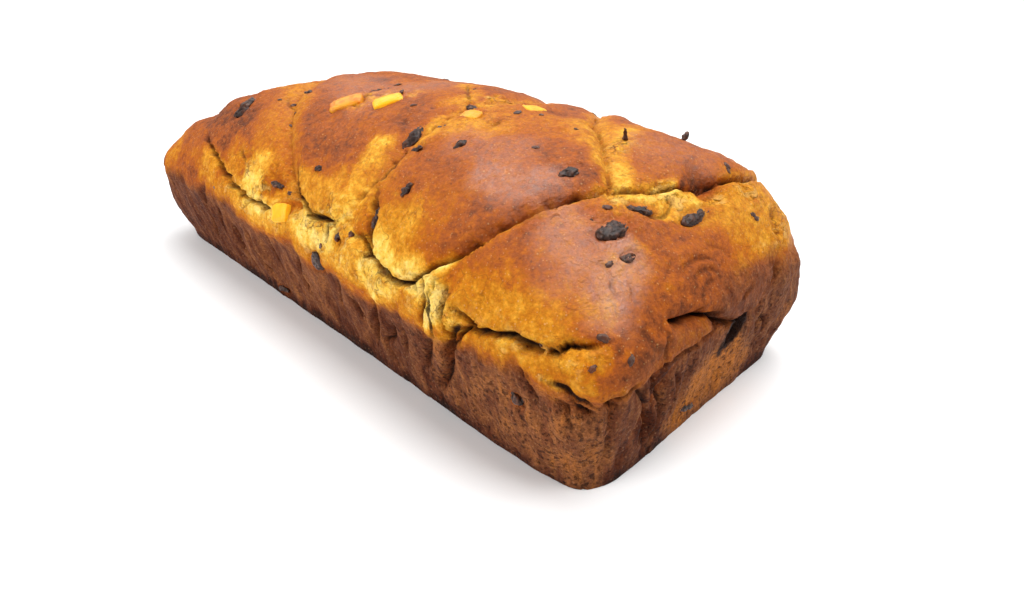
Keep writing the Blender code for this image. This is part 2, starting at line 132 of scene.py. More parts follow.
# each fold: how far its left and right banks round off, how deep its crack is,
# how far the crust beside it stays golden, and its way over the crust with its depth
folds = {
    "farSeam": (3, 3.5, 2.8, 3, 9, [
        (-99, -57, 65, 1.5), (-86, -62, 62, 2.6), (-63, -67, 55, 3), (-40, -68, 50, 3.2),
        (-20, -68, 51, 2.4)]),
    "middleStrandFoot": (3, 2.6, 2.6, 9, 9, [
        (-15, -57, 71, 1), (-6, -64, 62, 2), (3, -66, 57, 2.3), (23, -66, 58, 2)]),
    "pinchedEdge": (3, 4, 2.2, 6, 9, [(38, -54, 74, 1.2), (43, -61, 65, 2), (48, -66, 55, 2.2)]),
    "lobeFoot": (2.6, 3.2, 2.6, 3, 8, [
        (36, -66, 57, 1.5), (43, -65, 57, 2.5), (48, -66, 54, 3), (59, -68, 50.5, 3), (66, -67, 50, 3),
        (72, -66, 52, 3), (78, -64, 57, 2.5), (83, -62, 60, 1.5)]),
    "longFold": (6, 4, 3.2, 0.5, 3.4, [
        (77, -65, 56, 1.5), (82, -62, 59.5, 3.5), (87, -59, 63, 5), (92, -54, 68, 6), (98, -47, 74, 6.5),
        (105, -37, 79, 5), (110, -27, 81, 4), (113, -19, 82, 3)]),
    "nearSeam": (2.2, 3, 2.5, 4, 6, [
        (95, -67, 52, 2), (99, -67, 50, 2.6), (104, -67, 48.3, 2.6), (109, -66, 49, 2.4),
        (114, -65, 50.5, 2.4), (118, -64, 51.2, 2.8), (122, -63, 49.5, 3), (127, -62, 49.2, 2.6),
        (131, -60, 50.2, 2.4), (135, -58, 51.8, 2.4), (138, -56, 53, 2.4), (141, -53.5, 54, 1.5)]),
    "notch": (2.4, 2.6, 2.8, 5, 5, [
        (89, -66, 57, 1.5), (89, -67, 53, 3), (90, -68, 49, 3.5), (92, -69, 43, 3.5), (91, -69, 37, 3.5),
        (89, -68, 31, 2)]),
    "notchBranch": (4, 4, 3.0, 3, 3, [
        (103, -67, 49, 3), (98, -68, 45, 4), (94, -68, 40, 4), (91, -68, 32, 3)]),
    "endFold": (5, 9, 3.4, 0, 0, [
        (146, -30, 53, 2), (148, -26, 52, 4.5), (149, -17, 50, 4.5), (149, -9, 46, 4),
        (149, -3, 41, 3.5), (149, 4, 38, 2.5), (149, 12, 37, 2.5), (149, 22, 36, 3), (149, 28, 38, 4),
        (149, 31, 44, 3), (148, 35, 50, 2)]),
    "endCrease": (5, 7, 3.2, 0, 0, [
        (148, -45, 37, 2), (149, -38, 39, 4), (149, -31, 39.5, 4), (149, -15, 39.5, 4), (149, -7, 39, 3),
        (149, -1, 38, 2)]),
    "endRidge": (7, 9, 0.0, 0, 0, [
        (146, -46, 8, 1), (148, -40, 20, 2.2), (149, -26, 33, 2.2), (150, -14, 41, 1)]),
    "cornerFlute": (6, 6, 0.5, 0, 0, [(146, -54, 36, 2.5), (145, -53, 22, 1.6), (144, -52, 8, 0.6)]),
    "farStrand": (13, 14, 0.3, 8, 6, [
        (-3, -67, 56, 4), (-14, -61, 65, 4), (-34, -48, 78, 4), (-58, -25, 86, 3.5), (-72, 2, 88, 4),
        (-88, 30, 82, 5), (-98, 46, 75, 5)]),
    "middleStrand": (13, 8, 0.8, 4, 6, [
        (30, -66, 58, 1.5), (34, -55, 73, 2.2), (38, -38, 84, 3.2), (42, -11, 93, 3), (49, 10, 93, 3),
        (44, 34, 85, 4), (30, 56, 69, 4), (20, 66, 56, 3)]),
    "nearStrand": (9, 11, 0.5, 5, 6, [
        (114, -19, 81, 3), (104, -8, 85, 4), (91, 5, 90, 4), (78, 17, 90, 4), (66, 38, 82, 4),
        (54, 66, 56, 3)]),
    "nearCap": (4, 4, 1.2, 4, 9, [
        (113, -19, 81, 1.8), (119, -8, 79, 1.6), (124, 14, 76, 2.8), (127, 32, 72, 5), (129, 52, 66, 4),
        (128, 62, 56, 2)]),
}
# those that the back repeats, turned half round
turnedFolds = (
    "farSeam", "middleStrandFoot", "lobeFoot", "longFold", "nearSeam", "notch", "endFold", "endCrease")

# fine lines of the crust: bank, depth (a ridge where it is below zero), crack, way
fineLines = [
    (3.2, -2.4, 0.0, [(86, -58, 60), (84, -66, 55), (85, -69, 49), (85, -69, 43), (83, -69, 36)]),
    (2.6, -1.8, 0.0, [(91, -67, 50), (92, -68, 44), (91, -69, 37)]),
    (1.3, -1.0, 0.0, [(86.5, -65, 55), (87.0, -67, 50), (89.5, -69, 43), (88.5, -69, 37)]),
    (1.2, 0.9, 0.9, [(84.5, -65, 55), (84.5, -67, 50), (86.5, -69, 43), (86, -69, 37)]),
    (1.2, -0.9, 0.0, [(82.5, -65, 56), (82.5, -67, 50), (84.0, -69, 43)]),
    (2.0, 1.6, 1.4, [(99, -66, 47), (96, -67, 45.5), (94, -68, 42), (92.5, -68, 37), (91, -67, 32)]),
    (1.4, 0.8, 0.8, [(82, -67, 54), (83, -68, 49), (82.5, -69, 44)]),
    (2.6, -1.4, 0.0, [(96, -65, 58), (93, -67, 52), (95, -68, 47)]),
    (2.0, 1.2, 1.0, [(76, -66, 56), (80, -68, 51), (81, -68, 46), (80, -68, 38)]),
    (1.6, 0.8, 0.7, [(72, -66, 56), (75, -68, 52), (79, -68, 50)]),
    (2.6, 2.2, 1.0, [(82, -69, 36), (80, -68, 31), (76, -68, 23), (73, -66, 14)]),
    (3.0, 2.8, 1.0, [(88, -69, 36), (90, -68, 32), (89, -68, 27), (85, -67, 18), (78, -66, 8)]),
    (2.6, 1.8, 1.0, [(122, -68, 44), (125, -68, 38), (128, -67, 31)]),
    (1.8, -1.3, 0.0, [(128, -68, 42), (132, -67, 43.5), (136, -66, 42.5), (140, -64, 40)]),
    (3.2, 2.2, 0.9, [(135, -67, 39), (138, -66, 35), (139, -65, 28)]),
    (2.4, 2.0, 1.0, [(139, -66, 40), (141, -64, 36), (143, -61, 33.5), (146, -58, 33)]),
    (2.2, 1.6, 1.0, [(147, -59, 39), (147, -55, 35.5), (148, -51, 33.5)]),
    (5.0, -1.8, 0.0, [(139, -61, 51), (142, -62, 46), (145, -60, 40)]),
    (2.2, -1.5, 0.0, [(144, -30, 53), (148, -33, 50), (149, -38, 48)]),
    (3.0, -1.4, 0.0, [(147, -22, 46), (148, -16, 45), (148, -11, 43)]),
    (2.0, -1.2, 0.0, [
        (148, -5, 41.5), (149, -12, 43), (149, -20, 42.5), (149, -28, 42.5), (149, -36, 42), (148, -42, 40)]),
    (3.5, 2.4, 0.9, [(149, -38, 38), (149, -35, 34), (148, -37, 30)]),
    (2.2, 1.4, 0.8, [(148, -45, 37), (148, -40, 30), (146, -35, 18), (145, -36, 8)]),
    (2.2, -1.2, 0.0, [(148, -41, 36), (148, -37, 27), (146, -32, 17), (145, -32, 7)]),
    (2.4, 1.5, 0.8, [(149, -33, 32), (148, -29, 22), (146, -29, 12), (145, -30, 4)]),
    (2.4, -1.2, 0.0, [(149, -29, 33), (148, -25, 25), (147, -25, 15)]),
    (2.4, 1.2, 0.6, [(149, -24, 33), (149, -21, 25), (147, -22, 12)]),
    (3.0, 0.5, 1.4, [(149, 7, 26.5), (149, 11, 30.5), (149, 16, 34.5)]),
    (2.0, 1.0, 0.8, [(149, 30, 30), (149, 36, 24), (148, 38, 18)]),
    (1.6, 0.9, 0.8, [(149, 36, 18), (149, 40, 15), (149, 41, 11)]),
    (2.0, 0.9, 0.5, [(149, 3, 44), (150, 8, 47), (149, 14, 49)]),
    (1.4, 0.7, 0.5, [(133, -40, 67), (135, -43, 65), (138, -43, 62.5)]),
    (1.4, 0.6, 0.4, [(136, -37, 66), (139, -38, 63), (140, -40, 61)]),
    (1.3, 0.5, 0.5, [(127, -40, 71), (130, -41, 70), (132, -41, 68)]),
    (2.4, -1.3, 0.0, [(30, -66, 57), (38, -67, 54), (46, -68, 52)]),
    (2.4, 1.6, 1.0, [(17, -66, 58), (21, -67, 54), (24, -68, 50)]),
    (2.4, -1.2, 0.0, [(12, -66, 57), (15, -67, 53), (19, -68, 49)]),
    (2.2, 1.0, 0.8, [(26, -66, 56), (30, -67, 52), (30, -68, 48)]),
    (2.6, -1.2, 0.0, [(-28, -66, 54), (-20, -67, 53), (-10, -67, 55)]),
    (2.4, 0.9, 0.6, [(-60, -60, 68), (-54, -62, 65), (-48, -64, 62)]),
    (2.2, -0.9, 0.0, [(-56, -56, 71), (-50, -58, 69), (-44, -62, 65)]),
    (2.5, -0.8, 0.0, [(-20, -44, 79), (-12, -53, 73), (-7, -61, 66)]),
    (2.5, 0.8, 0.9, [(40, -40, 84), (39, -47, 80), (36, -54, 74)]),
    (2.2, 0.6, 0.6, [(24, -27, 89), (27, -34, 87)]),
    (2.2, 0.7, 0.5, [(60, -11, 93), (61, -20, 91)]),
    (2.5, 0.9, 0.6, [(120, -4, 78), (117, -12, 80), (115, -17, 81)]),
    (2.5, 0.7, 0.5, [(125, 1, 76), (128, -10, 74), (121, -20, 78)]),
    (2.6, 1.9, 0.9, [(-87, -68, 38), (-90, -67, 30), (-94, -65, 20), (-95, -63, 11)]),
    (2.8, -1.3, 0.0, [(-82, -68, 38), (-86, -66, 24), (-86, -63, 10)]),
    (2.6, 1.5, 0.6, [(-75, -68, 36), (-79, -66, 24), (-74, -64, 14), (-66, -62, 6)]),
    (2.4, -1.1, 0.0, [(-69, -68, 34), (-72, -66, 24), (-67, -64, 14)]),
    (2.4, 1.6, 0.8, [(-66, -67, 30), (-64, -65, 18), (-57, -62, 6)]),
    (2.6, 1.4, 0.7, [(-50, -68, 34), (-50, -66, 24), (-46, -64, 16), (-38, -62, 6)]),
    (2.6, -1.2, 0.0, [(-43, -68, 33), (-43, -66, 22), (-36, -64, 12)]),
    (2.4, 1.3, 0.6, [(-28, -68, 34), (-31, -66, 24), (-27, -64, 12)]),
    (2.8, -1.2, 0.0, [(-16, -68, 32), (-20, -66, 22), (-14, -63, 8)]),
    (2.4, 1.4, 0.7, [(-4, -68, 34), (-8, -66, 24), (-4, -64, 12)]),
    (2.6, -1.1, 0.0, [(12, -68, 33), (8, -66, 22), (12, -64, 10)]),
    (2.6, 1.4, 0.7, [(26, -68, 36), (22, -66, 24), (20, -64, 14)]),
    (2.4, 1.8, 1.0, [(31, -68, 31), (33, -67, 26), (36, -65, 20)]),
    (2.6, 2.0, 1.0, [(49, -68, 36), (48, -67, 30), (42, -65, 18), (39, -63, 9)]),
    (2.6, -1.2, 0.0, [(54, -68, 34), (50, -66, 22), (46, -65, 16)]),
    (2.8, 1.8, 0.9, [(60, -68, 31), (54, -66, 20), (47, -64, 14), (53, -62, 5)]),
    (2.4, 1.2, 0.5, [(66, -68, 34), (64, -67, 24), (60, -65, 14)]),
    (3.0, 1.0, 0.8, [(124, -67, 44), (127, -67, 40)]),
    (3.0, 1.2, 1.0, [(130, -66, 43), (136, -65, 43), (141, -62, 39), (145, -58, 35)]),
    (2.5, 0.9, 0.9, [(147, -57, 37), (149, -50, 38), (149, -46, 42)]),
    (3.0, 1.0, 0.5, [(148, -33, 54), (149, -33, 47), (150, -36, 41)]),
    (4.0, 1.3, 0.2, [(150, -30, 36), (149, -33, 22), (148, -36, 8)]),
    (4.0, 1.0, 0.2, [(150, 24, 36), (149, 32, 22), (148, 36, 8)]),
    (2.2, 0.6, 0.4, [(-60, -32, 85), (-50, -37, 83), (-44, -36, 83)]),
    (2.2, 0.5, 0.5, [(18, 9, 93), (28, 0, 93), (38, -8, 93)]),
    (2.5, 0.6, 0.4, [(-96, -58, 66), (-90, -58, 68), (-86, -60, 66)]),
    # curved wrinkles where the near end rolls over
    (2.0, 0.6, 0.3, [(142, -19, 61), (141.5, -13, 64), (142, -5, 63), (144, 1, 60)]),
    (1.6, -0.5, 0.0, [(143, -17, 60), (142.5, -11, 62.5), (143, -5, 61.5), (145, -1, 59)]),
    (1.6, 0.5, 0.3, [(144, -16, 58), (143.5, -11, 60.5), (144, -5, 59.5), (146, -2, 57)]),
    (2.2, -0.5, 0.0, [(139, -19, 65), (138.5, -10, 66.5), (140, 0, 65)]),
    (1.8, 0.5, 0.2, [(140, -24, 63), (138, -16, 66.5)]),
    (1.8, 0.5, 0.2, [(140, -2, 66), (142, 5, 63), (145, 8, 58)]),
    (1.6, 0.5, 0.3, [(146, -15, 55), (145.5, -9, 57), (146, -4, 56)]),
    (2.0, -0.7, 0.0, [(143, -29, 58), (142.5, -24, 60), (143.5, -19, 59)]),
]
# short frayed cracks along the foot of the middle strand
fineLines += [(1.3, 0.5, 0.6, [(x, -68, 53.5), (x + 1.5, -67, 57.0 + (x % 3))]) for x in range(51, 77, 4)]

# crust torn into small plates: middle and radius
tornPlaces = [
    (-13, -25, 92, 8), (-5, -20, 93, 7), (-46, -62, 62, 6), (-30, -66, 57, 6), (-8, -66, 57, 5),
    (20, -65, 57, 9), (30, -65, 58, 6), (84, -66, 52, 6), (80, -66, 54, 4), (106, -40, 79, 5),
    (116, -18, 82, 6), (124, 0, 78, 7), (128, 18, 76, 6), (134, 34, 71, 7), (140, 46, 60, 7),
    (8, -14, 94, 5), (-70, -8, 88, 6), (44, 2, 93, 6), (-24, -62, 62, 5), (146, 40, 56, 6),
    (100, 4, 86, 5),
]

# swellings and pits: place, radius, height
lumps = [
    (26, -61, 66, 6, 2.2), (100, -13, 87, 8, 1.6), (84, -66, 57, 5, 1.8), (97, -65, 56, 5, 1.4),
    (146, -10, 58, 13, 1.5), (-96, -34, 80, 20, 2.6), (-24, -4, 93, 26, -2.8), (124, 34, 74, 20, 4.0),
    (148, 58, 30, 16, 1.6), (126, 17, 76, 6, -5.0), (150, 12, 45, 11, 1.6), (150, 22, 26, 7, 0.6),
    (119, -67, 29, 4, -2.0), (14, -69, 40, 6, -1.0), (-134, -66, 24, 22, 3.2), (-122, -50, 60, 10, 2.2),
    (-97, -40, 74, 9, 2.6), (-82, -28, 80, 8, 1.4), (-55, -7, 87, 10, 1.4), (-36, 22, 88, 18, -1.6),
    (66, 16, 91, 11, -2.8), (75, 31, 85, 7, 1.6), (98, 32, 84, 14, 1.0), (127, 48, 70, 11, 2.8),
    (141, 52, 58, 10, 2.4), (148, 52, 49, 9, -3.6), (148, 56, 22, 13, 2.6), (98, -61, 2, 34, 1.3),
    (146, -57, 0, 9, -1.6), (146, 5, 0, 36, -0.8),
]


def crestHeight(x):
    shifts = np.linspace(-loafSpec["crestSmoothing"], loafSpec["crestSmoothing"], 7)
    crests = [np.interp(x + shift, loafSpec["crestX"], loafSpec["crestZ"]) for shift in shifts]
    return np.mean(crests, axis=0)


def outsideLoaf(points):
    # above zero outside the smooth loaf
    s = loafSpec
    x, y, z = points.T
    rise = np.clip(z / s["rimHeight"], 0, 1)
    halfWidth = (s["widthAtBase"] + (s["widthAtRim"] - s["widthAtBase"]) * rise) / 2
    halfLength = (s["lengthAtBase"] + (s["lengthAtRim"] - s["lengthAtBase"]) * rise) / 2
    edge = np.clip(1 - z / s["baseEdgeRadius"], 0, 1)
    rounding = s["baseEdgeRadius"] * (1 - np.sqrt(1 - edge**2))
    crest = crestHeight(x)
    upSide = np.clip((z - s["sideShoulder"]) / (crest - s["sideShoulder"]), 0, 1)
    upEnd = np.clip((z - s["endShoulder"]) / (crest - s["endShoulder"]), 0, 1)
    endCurve = np.where(x > 0, s["nearEndCurve"], s["farEndCurve"])
    halfWidth = halfWidth * (1 - upSide ** s["sideCurve"]) ** (1 / s["sideCurve"]) - rounding
    halfLength = halfLength * (1 - upEnd**endCurve) ** (1 / endCurve) - rounding
    low, high, curve = s["cornerFade"]
    fade = np.clip((z - low) / (high - low), 0, 1) ** curve
    power = s["tinCornerPower"] + (s["crestCornerPower"] - s["tinCornerPower"]) * fade
    across = np.abs(x) / np.maximum(halfLength, mm)
    along = np.abs(y) / np.maximum(halfWidth, mm)
    radius = np.clip(np.minimum(halfLength, halfWidth), mm, s["cornerRadius"])
    pastX = np.maximum(np.abs(x) - halfLength + radius, 0)
    pastY = np.maximum(np.abs(y) - halfWidth + radius, 0)
    past = np.maximum(across**power + along**power, np.hypot(pastX, pastY) / radius)
    return np.where((z > crest) | (z < 0), 1.0, past - 1)


def ontoLoaf(boxPoints):
    core = np.clip(boxPoints, *loafSpec["core"])
    way = boxPoints - core
    way /= np.linalg.norm(way, axis=1, keepdims=True)
    near, far = np.zeros(len(core)), np.full(len(core), loafSpec["reach"])
    for _ in range(26):
        middle = (near + far) / 2
        inside = outsideLoaf(core + way * middle[:, None]) < 0
        near, far = np.where(inside, middle, near), np.where(inside, far, middle)
    return core + way * near[:, None]


def smoothPath(points, step=0.8):
    # Catmull-Rom line: places, directions, and what else each point carries
    knots = np.array(points, dtype=float)
    knots = np.vstack([2 * knots[0] - knots[1], knots, 2 * knots[-1] - knots[-2]])
    line = []
    for a, b, c, d in zip(knots, knots[1:], knots[2:], knots[3:]):
        count = max(2, int(np.linalg.norm(c[:3] - b[:3]) / step))
        for t in np.arange(count) / count:
            bend = (2 * a - 5 * b + 4 * c - d) * t**2 + (3 * b - a - 3 * c + d) * t**3
            line.append(b + (c - a) * t / 2 + bend / 2)
    line = np.array(line + [knots[-2]])
    along = np.gradient(line[:, :3], axis=0)
    along /= np.linalg.norm(along, axis=1, keepdims=True)
    return line[:, :3], along, line[:, 3:]


def besidePath(points, normals, line, along, reach):
    # which points lie near the line, how far off it, on which side, and their nearest sample
    near = ((points > line.min(axis=0) - reach) & (points < line.max(axis=0) + reach)).all(axis=1)
    here, facing = points[near], normals[near]
    parts = np.array_split(here, 1 + len(here) // 6000)
    nearest = [((part[:, None] - line[None]) ** 2).sum(axis=2).argmin(axis=1) for part in parts]
    nearest = np.concatenate(nearest)
    offset = here - line[nearest]
    ahead = along[nearest]
    side = (np.cross(ahead, offset) * facing).sum(axis=1)
    inner = (nearest > 0) & (nearest < len(line) - 1)
    offset = offset - ahead * ((offset * ahead).sum(axis=1) * inner)[:, None]
    offset = offset - facing * (offset * facing).sum(axis=1)[:, None]
    return near, np.linalg.norm(offset, axis=1), side, nearest


def perlin(points, size, offset=(0.0, 0.0, 0.0)):
    shift = Vector(offset)
    return np.array([noise.noise(Vector(p) + shift) for p in points / size])


def cells(points, size, offset=(0.0, 0.0, 0.0)):
    # distance to the nearest of scattered points, about one for each size
    shift = Vector(offset)
    return np.array([noise.voronoi(Vector(p) + shift)[0][0] for p in points / size])


def smoothStep(a, b, value):
    t = np.clip((value - a) / (b - a), 0, 1)
    return t * t * (3 - 2 * t)


def alongStrands(points, stretch):
    # the same places drawn together along the strands, so that noise there comes out long
    way = np.array([0.45, 0.89, 0.0])
    return points - np.outer(points @ way, way) * (1 - stretch)


def aroundLoaf(points):
    # distance round the loaf from its far front corner: front, near end, back, far end
    x, y = points[:, 0], points[:, 1]
    length, width = loafSpec["lengthAtRim"], loafSpec["widthAtRim"]
    onSide = np.abs(y) / width >= np.abs(x) / length
    front = length / 2 + x
    nearEnd = length + width / 2 + y
    back = length * 1.5 + width - x
    farEnd = length * 2 + width * 1.5 - y
    return np.where(onSide, np.where(y < 0, front, back), np.where(x > 0, nearEnd, farEnd))


# where the dark tin-baked wall stops, as (distance round the loaf, height)
wallTop = {
    "edge": [
        (0, 42), (20, 41), (39, 44), (64, 44), (83, 44), (92, 45), (100, 42), (106, 38), (119, 36),
        (130, 39), (144, 40), (154, 38), (161, 36), (174, 37), (180, 38), (187, 37), (196, 33),
        (202, 33), (210, 38), (219, 41), (229, 40), (234, 35), (240, 35), (245, 38), (249, 41),
        (260, 43), (274, 42), (288, 41), (296, 37), (307, 37), (317, 38), (324, 40), (331, 41),
        (349, 42), (359, 40), (364, 38), (372, 37), (384, 37), (394, 39), (399, 43), (404, 48),
        (411, 48), (425, 46), (438, 43),
    ],
    "hiddenHeight": 41.0,
    "hiddenWander": 5.0,
    "drag": 0.55,
    "drips": 5.0,
}


def wallHeight(points):
    around = aroundLoaf(points)
    z = points[:, 2]
    dragged = around + np.where(around < 296, (44 - z) * wallTop["drag"], 0.0)
    drips = (wallTop["drips"] * flutes + 1.2 * wander - 1.0) * (around < 300)
    seen = np.interp(dragged, *zip(*wallTop["edge"])) + drips
    turn = around / 876 * 2 * math.pi
    ring = np.stack([np.cos(turn) * 8, np.sin(turn) * 8, around * 0], axis=1)
    hidden = wallTop["hiddenHeight"] + wallTop["hiddenWander"] * perlin(ring, 1.0, (5.5, 1.1, 0.3)) * 1.6
    share = smoothStep(430, 450, around) * (1 - smoothStep(850, 876, around))
    return seen * (1 - share) + hidden * share


def crackLines():
    # samples along every fold and fine line that opens as a crack
    ways = [fold[5] for fold in folds.values() if fold[2] > 0]
    ways += [line[3] for line in fineLines if line[2] > 0]
    samples = [smoothPath(way)[0] for way in ways]
    scatter = np.random.default_rng(5)
    for x, y, z, radius in tornPlaces:
        samples.append(np.array((x, y, z)) + scatter.uniform(-0.7, 0.7, (10, 3)) * radius)
    tree = KDTree(sum(len(s) for s in samples))
    for k, point in enumerate(np.vstack(samples)):
        tree.insert(point, k)
    tree.balance()
    return tree


def divideNear(bm, tree, reach):
    # halves the faces that lie near a crack
    close = {v for v in bm.verts if tree.find(v.co)[2] < reach}
    edges = [e for e in bm.edges if e.verts[0] in close and e.verts[1] in close]
    bmesh.ops.subdivide_edges(bm, edges=edges, cuts=1, use_grid_fill=True)


def loafBase():
    # the smooth loaf as a grid, its under side closed by one flat face
    bm = bmesh.new()
    bmesh.ops.create_cube(bm, size=2.0)
    under = [f for f in bm.faces if f.normal.z < -0.9]
    bmesh.ops.delete(bm, geom=under, context="FACES_ONLY")
    for axis, count in enumerate(loafSpec["grid"]):
        edges = [e for e in bm.edges if abs(e.verts[0].co[axis] - e.verts[1].co[axis]) > 1.0]
        bmesh.ops.subdivide_edges(bm, edges=edges, cuts=count - 1, use_grid_fill=True)
    rim = [e for e in bm.edges if e.is_boundary]
    bmesh.ops.holes_fill(bm, edges=rim, sides=0)
    cube = np.array([v.co[:] for v in bm.verts])
    lowest = cube[:, 2] < -0.999
    for axis, lean in enumerate(loafSpec["gridLean"]):
        cube[:, axis] += lean * (1 - cube[:, axis] ** 2) / 2
    halfHeight = loafSpec["gridHeight"] / 2
    box = cube * (loafSpec["lengthAtRim"] / 2, loafSpec["widthAtRim"] / 2 - loafSpec["gridInset"], halfHeight)
    box += (0, 0, halfHeight)
    points = ontoLoaf(box)
    for vertex, point in zip(bm.verts, points):
        vertex.co = point
    base = bm.verts.layers.int.new("base")
    for vertex, low in zip(bm.verts, lowest):
        vertex[base] = int(low)
    bm.normal_update()
    tree = crackLines()
    for reach in loafSpec["crackReach"]:
        divideNear(bm, tree, reach)
    bm.normal_update()
    points = np.array([v.co[:] for v in bm.verts])
    normals = np.array([v.normal[:] for v in bm.verts])
    onBase = np.array([v[base] == 1 for v in bm.verts])
    bm.verts.layers.int.remove(base)
    return bm, points, normals, onBase


def foldRelief(points, normals):
    # how deep each place lies in the folds, the golden places beside them, and the painted shade that darkens
    # their cracks
    turned = {}
    for name in turnedFolds:
        *sizes, way = folds[name]
        turned["back" + name] = (*sizes, [(-x, -y, z, deep) for x, y, z, deep in way])
    depth, gold, crackShade = (np.zeros(len(points)) for _ in range(3))
    for left, right, slit, goldLeft, goldRight, way in {**folds, **turned}.values():
        line, along, extra = smoothPath(way)
        deep = np.maximum(extra[:, 0], 0)
        reach = max(left, right, 1.6 * goldLeft, 1.6 * goldRight)
        near, far, side, nearest = besidePath(points, normals, line, along, reach)
        signed = np.where(side > 0, far, -far) + 2.2 * drift[near] + 0.5 * wander[near]
        bank = np.where(side > 0, left, right)
        t = np.clip(1 - far / bank, 0, 1)
        depth[near] = np.maximum(depth[near], deep[nearest] * (0.5 * t**2 + 0.5 * (1 - np.sqrt(1 - t**2))))
        ends = np.clip(np.minimum(nearest, len(line) - 1 - nearest) / 8.0, 0, 1)
        share = np.clip(deep[nearest] / 2.2, 0, 1) * ends
        opening = smoothStep(-0.45, 0.05, drift[near] + 0.5 * wander[near] + 0.25 + 0.4 * (slit - 1.8))
        slot = smoothStep(0.9 + 0.12 * slit, 0.5, np.abs(signed)) * share * opening
        # the slot's near-black colour is painted shade inside the crack
        crackShade[near] = np.maximum(crackShade[near], slot * min(slit, 1.4) / 1.4)
        depth[near] += slot * min(slit, 2.4) * 1.5
        lip = np.exp(-(((np.abs(signed) - 1.9) / 0.8) ** 2)) * share * (0.35 + 0.9 * wander[near])
        depth[near] -= lip * min(slit, 1.0)
        reachGold = np.maximum(np.where(side > 0, goldLeft, goldRight), 0.1)
        golden = np.exp(-((far / reachGold) ** 2)) * np.clip(deep[nearest] / 2.5, 0, 1)
        gold[near] = np.maximum(gold[near], golden)
    for bank, deepest, slit, way in fineLines:
        line, along, _ = smoothPath(way)
        near, far, side, nearest = besidePath(points, normals, line, along, bank)
        ends = np.clip(np.minimum(nearest, len(line) - 1 - nearest) / 6.0, 0, 1)
        t = np.clip(1 - (far + 0.4 * wander[near]) / bank, 0, 1)
        depth[near] += deepest * (3 * t**2 - 2 * t**3) * ends
        slot = smoothStep(1.0, 0.3, far + 0.5 * wander[near]) * ends
        crackShade[near] = np.maximum(crackShade[near], slot * slit)
        depth[near] += 0.9 * slot * slit
    return depth, gold, crackShade


def fruitPlaces():
    # each fruit's middle and its corners
    shapes = [piece for name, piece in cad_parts.items() if name != "loaf"]
    corners = [np.array([v.co[:] for v in piece.data.vertices]) / mm for piece in shapes]
    return [(points.mean(axis=0), points) for points in corners]


def fruitRing(points, normals, places):
    # the crust dips beside each fruit and rises a little round it
    ring, stainAndFoldShade = np.zeros(len(points)), np.zeros(len(points))
    for middle, fruit in places:
        reach = np.linalg.norm(fruit - middle, axis=1).max() * 2
        near = np.linalg.norm(points - middle, axis=1) < reach
        if not near.any():
            continue
        out = normals[near].mean(axis=0)
        out /= np.linalg.norm(out)
        flat = (fruit - middle) - np.outer((fruit - middle) @ out, out)
        _, _, axes = np.linalg.svd(flat, full_matrices=False)
        spans = np.abs((fruit - middle) @ axes[:2].T).max(axis=0)
        off = np.abs((points[near] - middle) @ axes[:2].T) / np.maximum(spans, 1.0)
        e = np.hypot(off[:, 0], off[:, 1])
        ragged = perlin(points[near], 2.3, (middle[0], 1.0, 2.0))
        dip = -0.7 * np.exp(-(((e - 1.0) / 0.22) ** 2))
        rise = 1.2 * np.clip(ragged + 0.1, 0, 1) * np.exp(-(((e - 1.3) / 0.25) ** 2))
        ring[near] += dip + rise
        # a darker stain in the crust round each fruit
        stainAndFoldShade[near] = np.maximum(stainAndFoldShade[near], np.exp(-(((np.maximum(e, 0.9) - 0.9) / 0.35) ** 2)))
    return ring, stainAndFoldShade


# a torn hole in the near end, round a raisin
hole = {"y": 11.8, "z": 30.3, "lean": 0.5, "halfWidth": 4.8, "halfHeight": 5.2, "depth": 6.5}
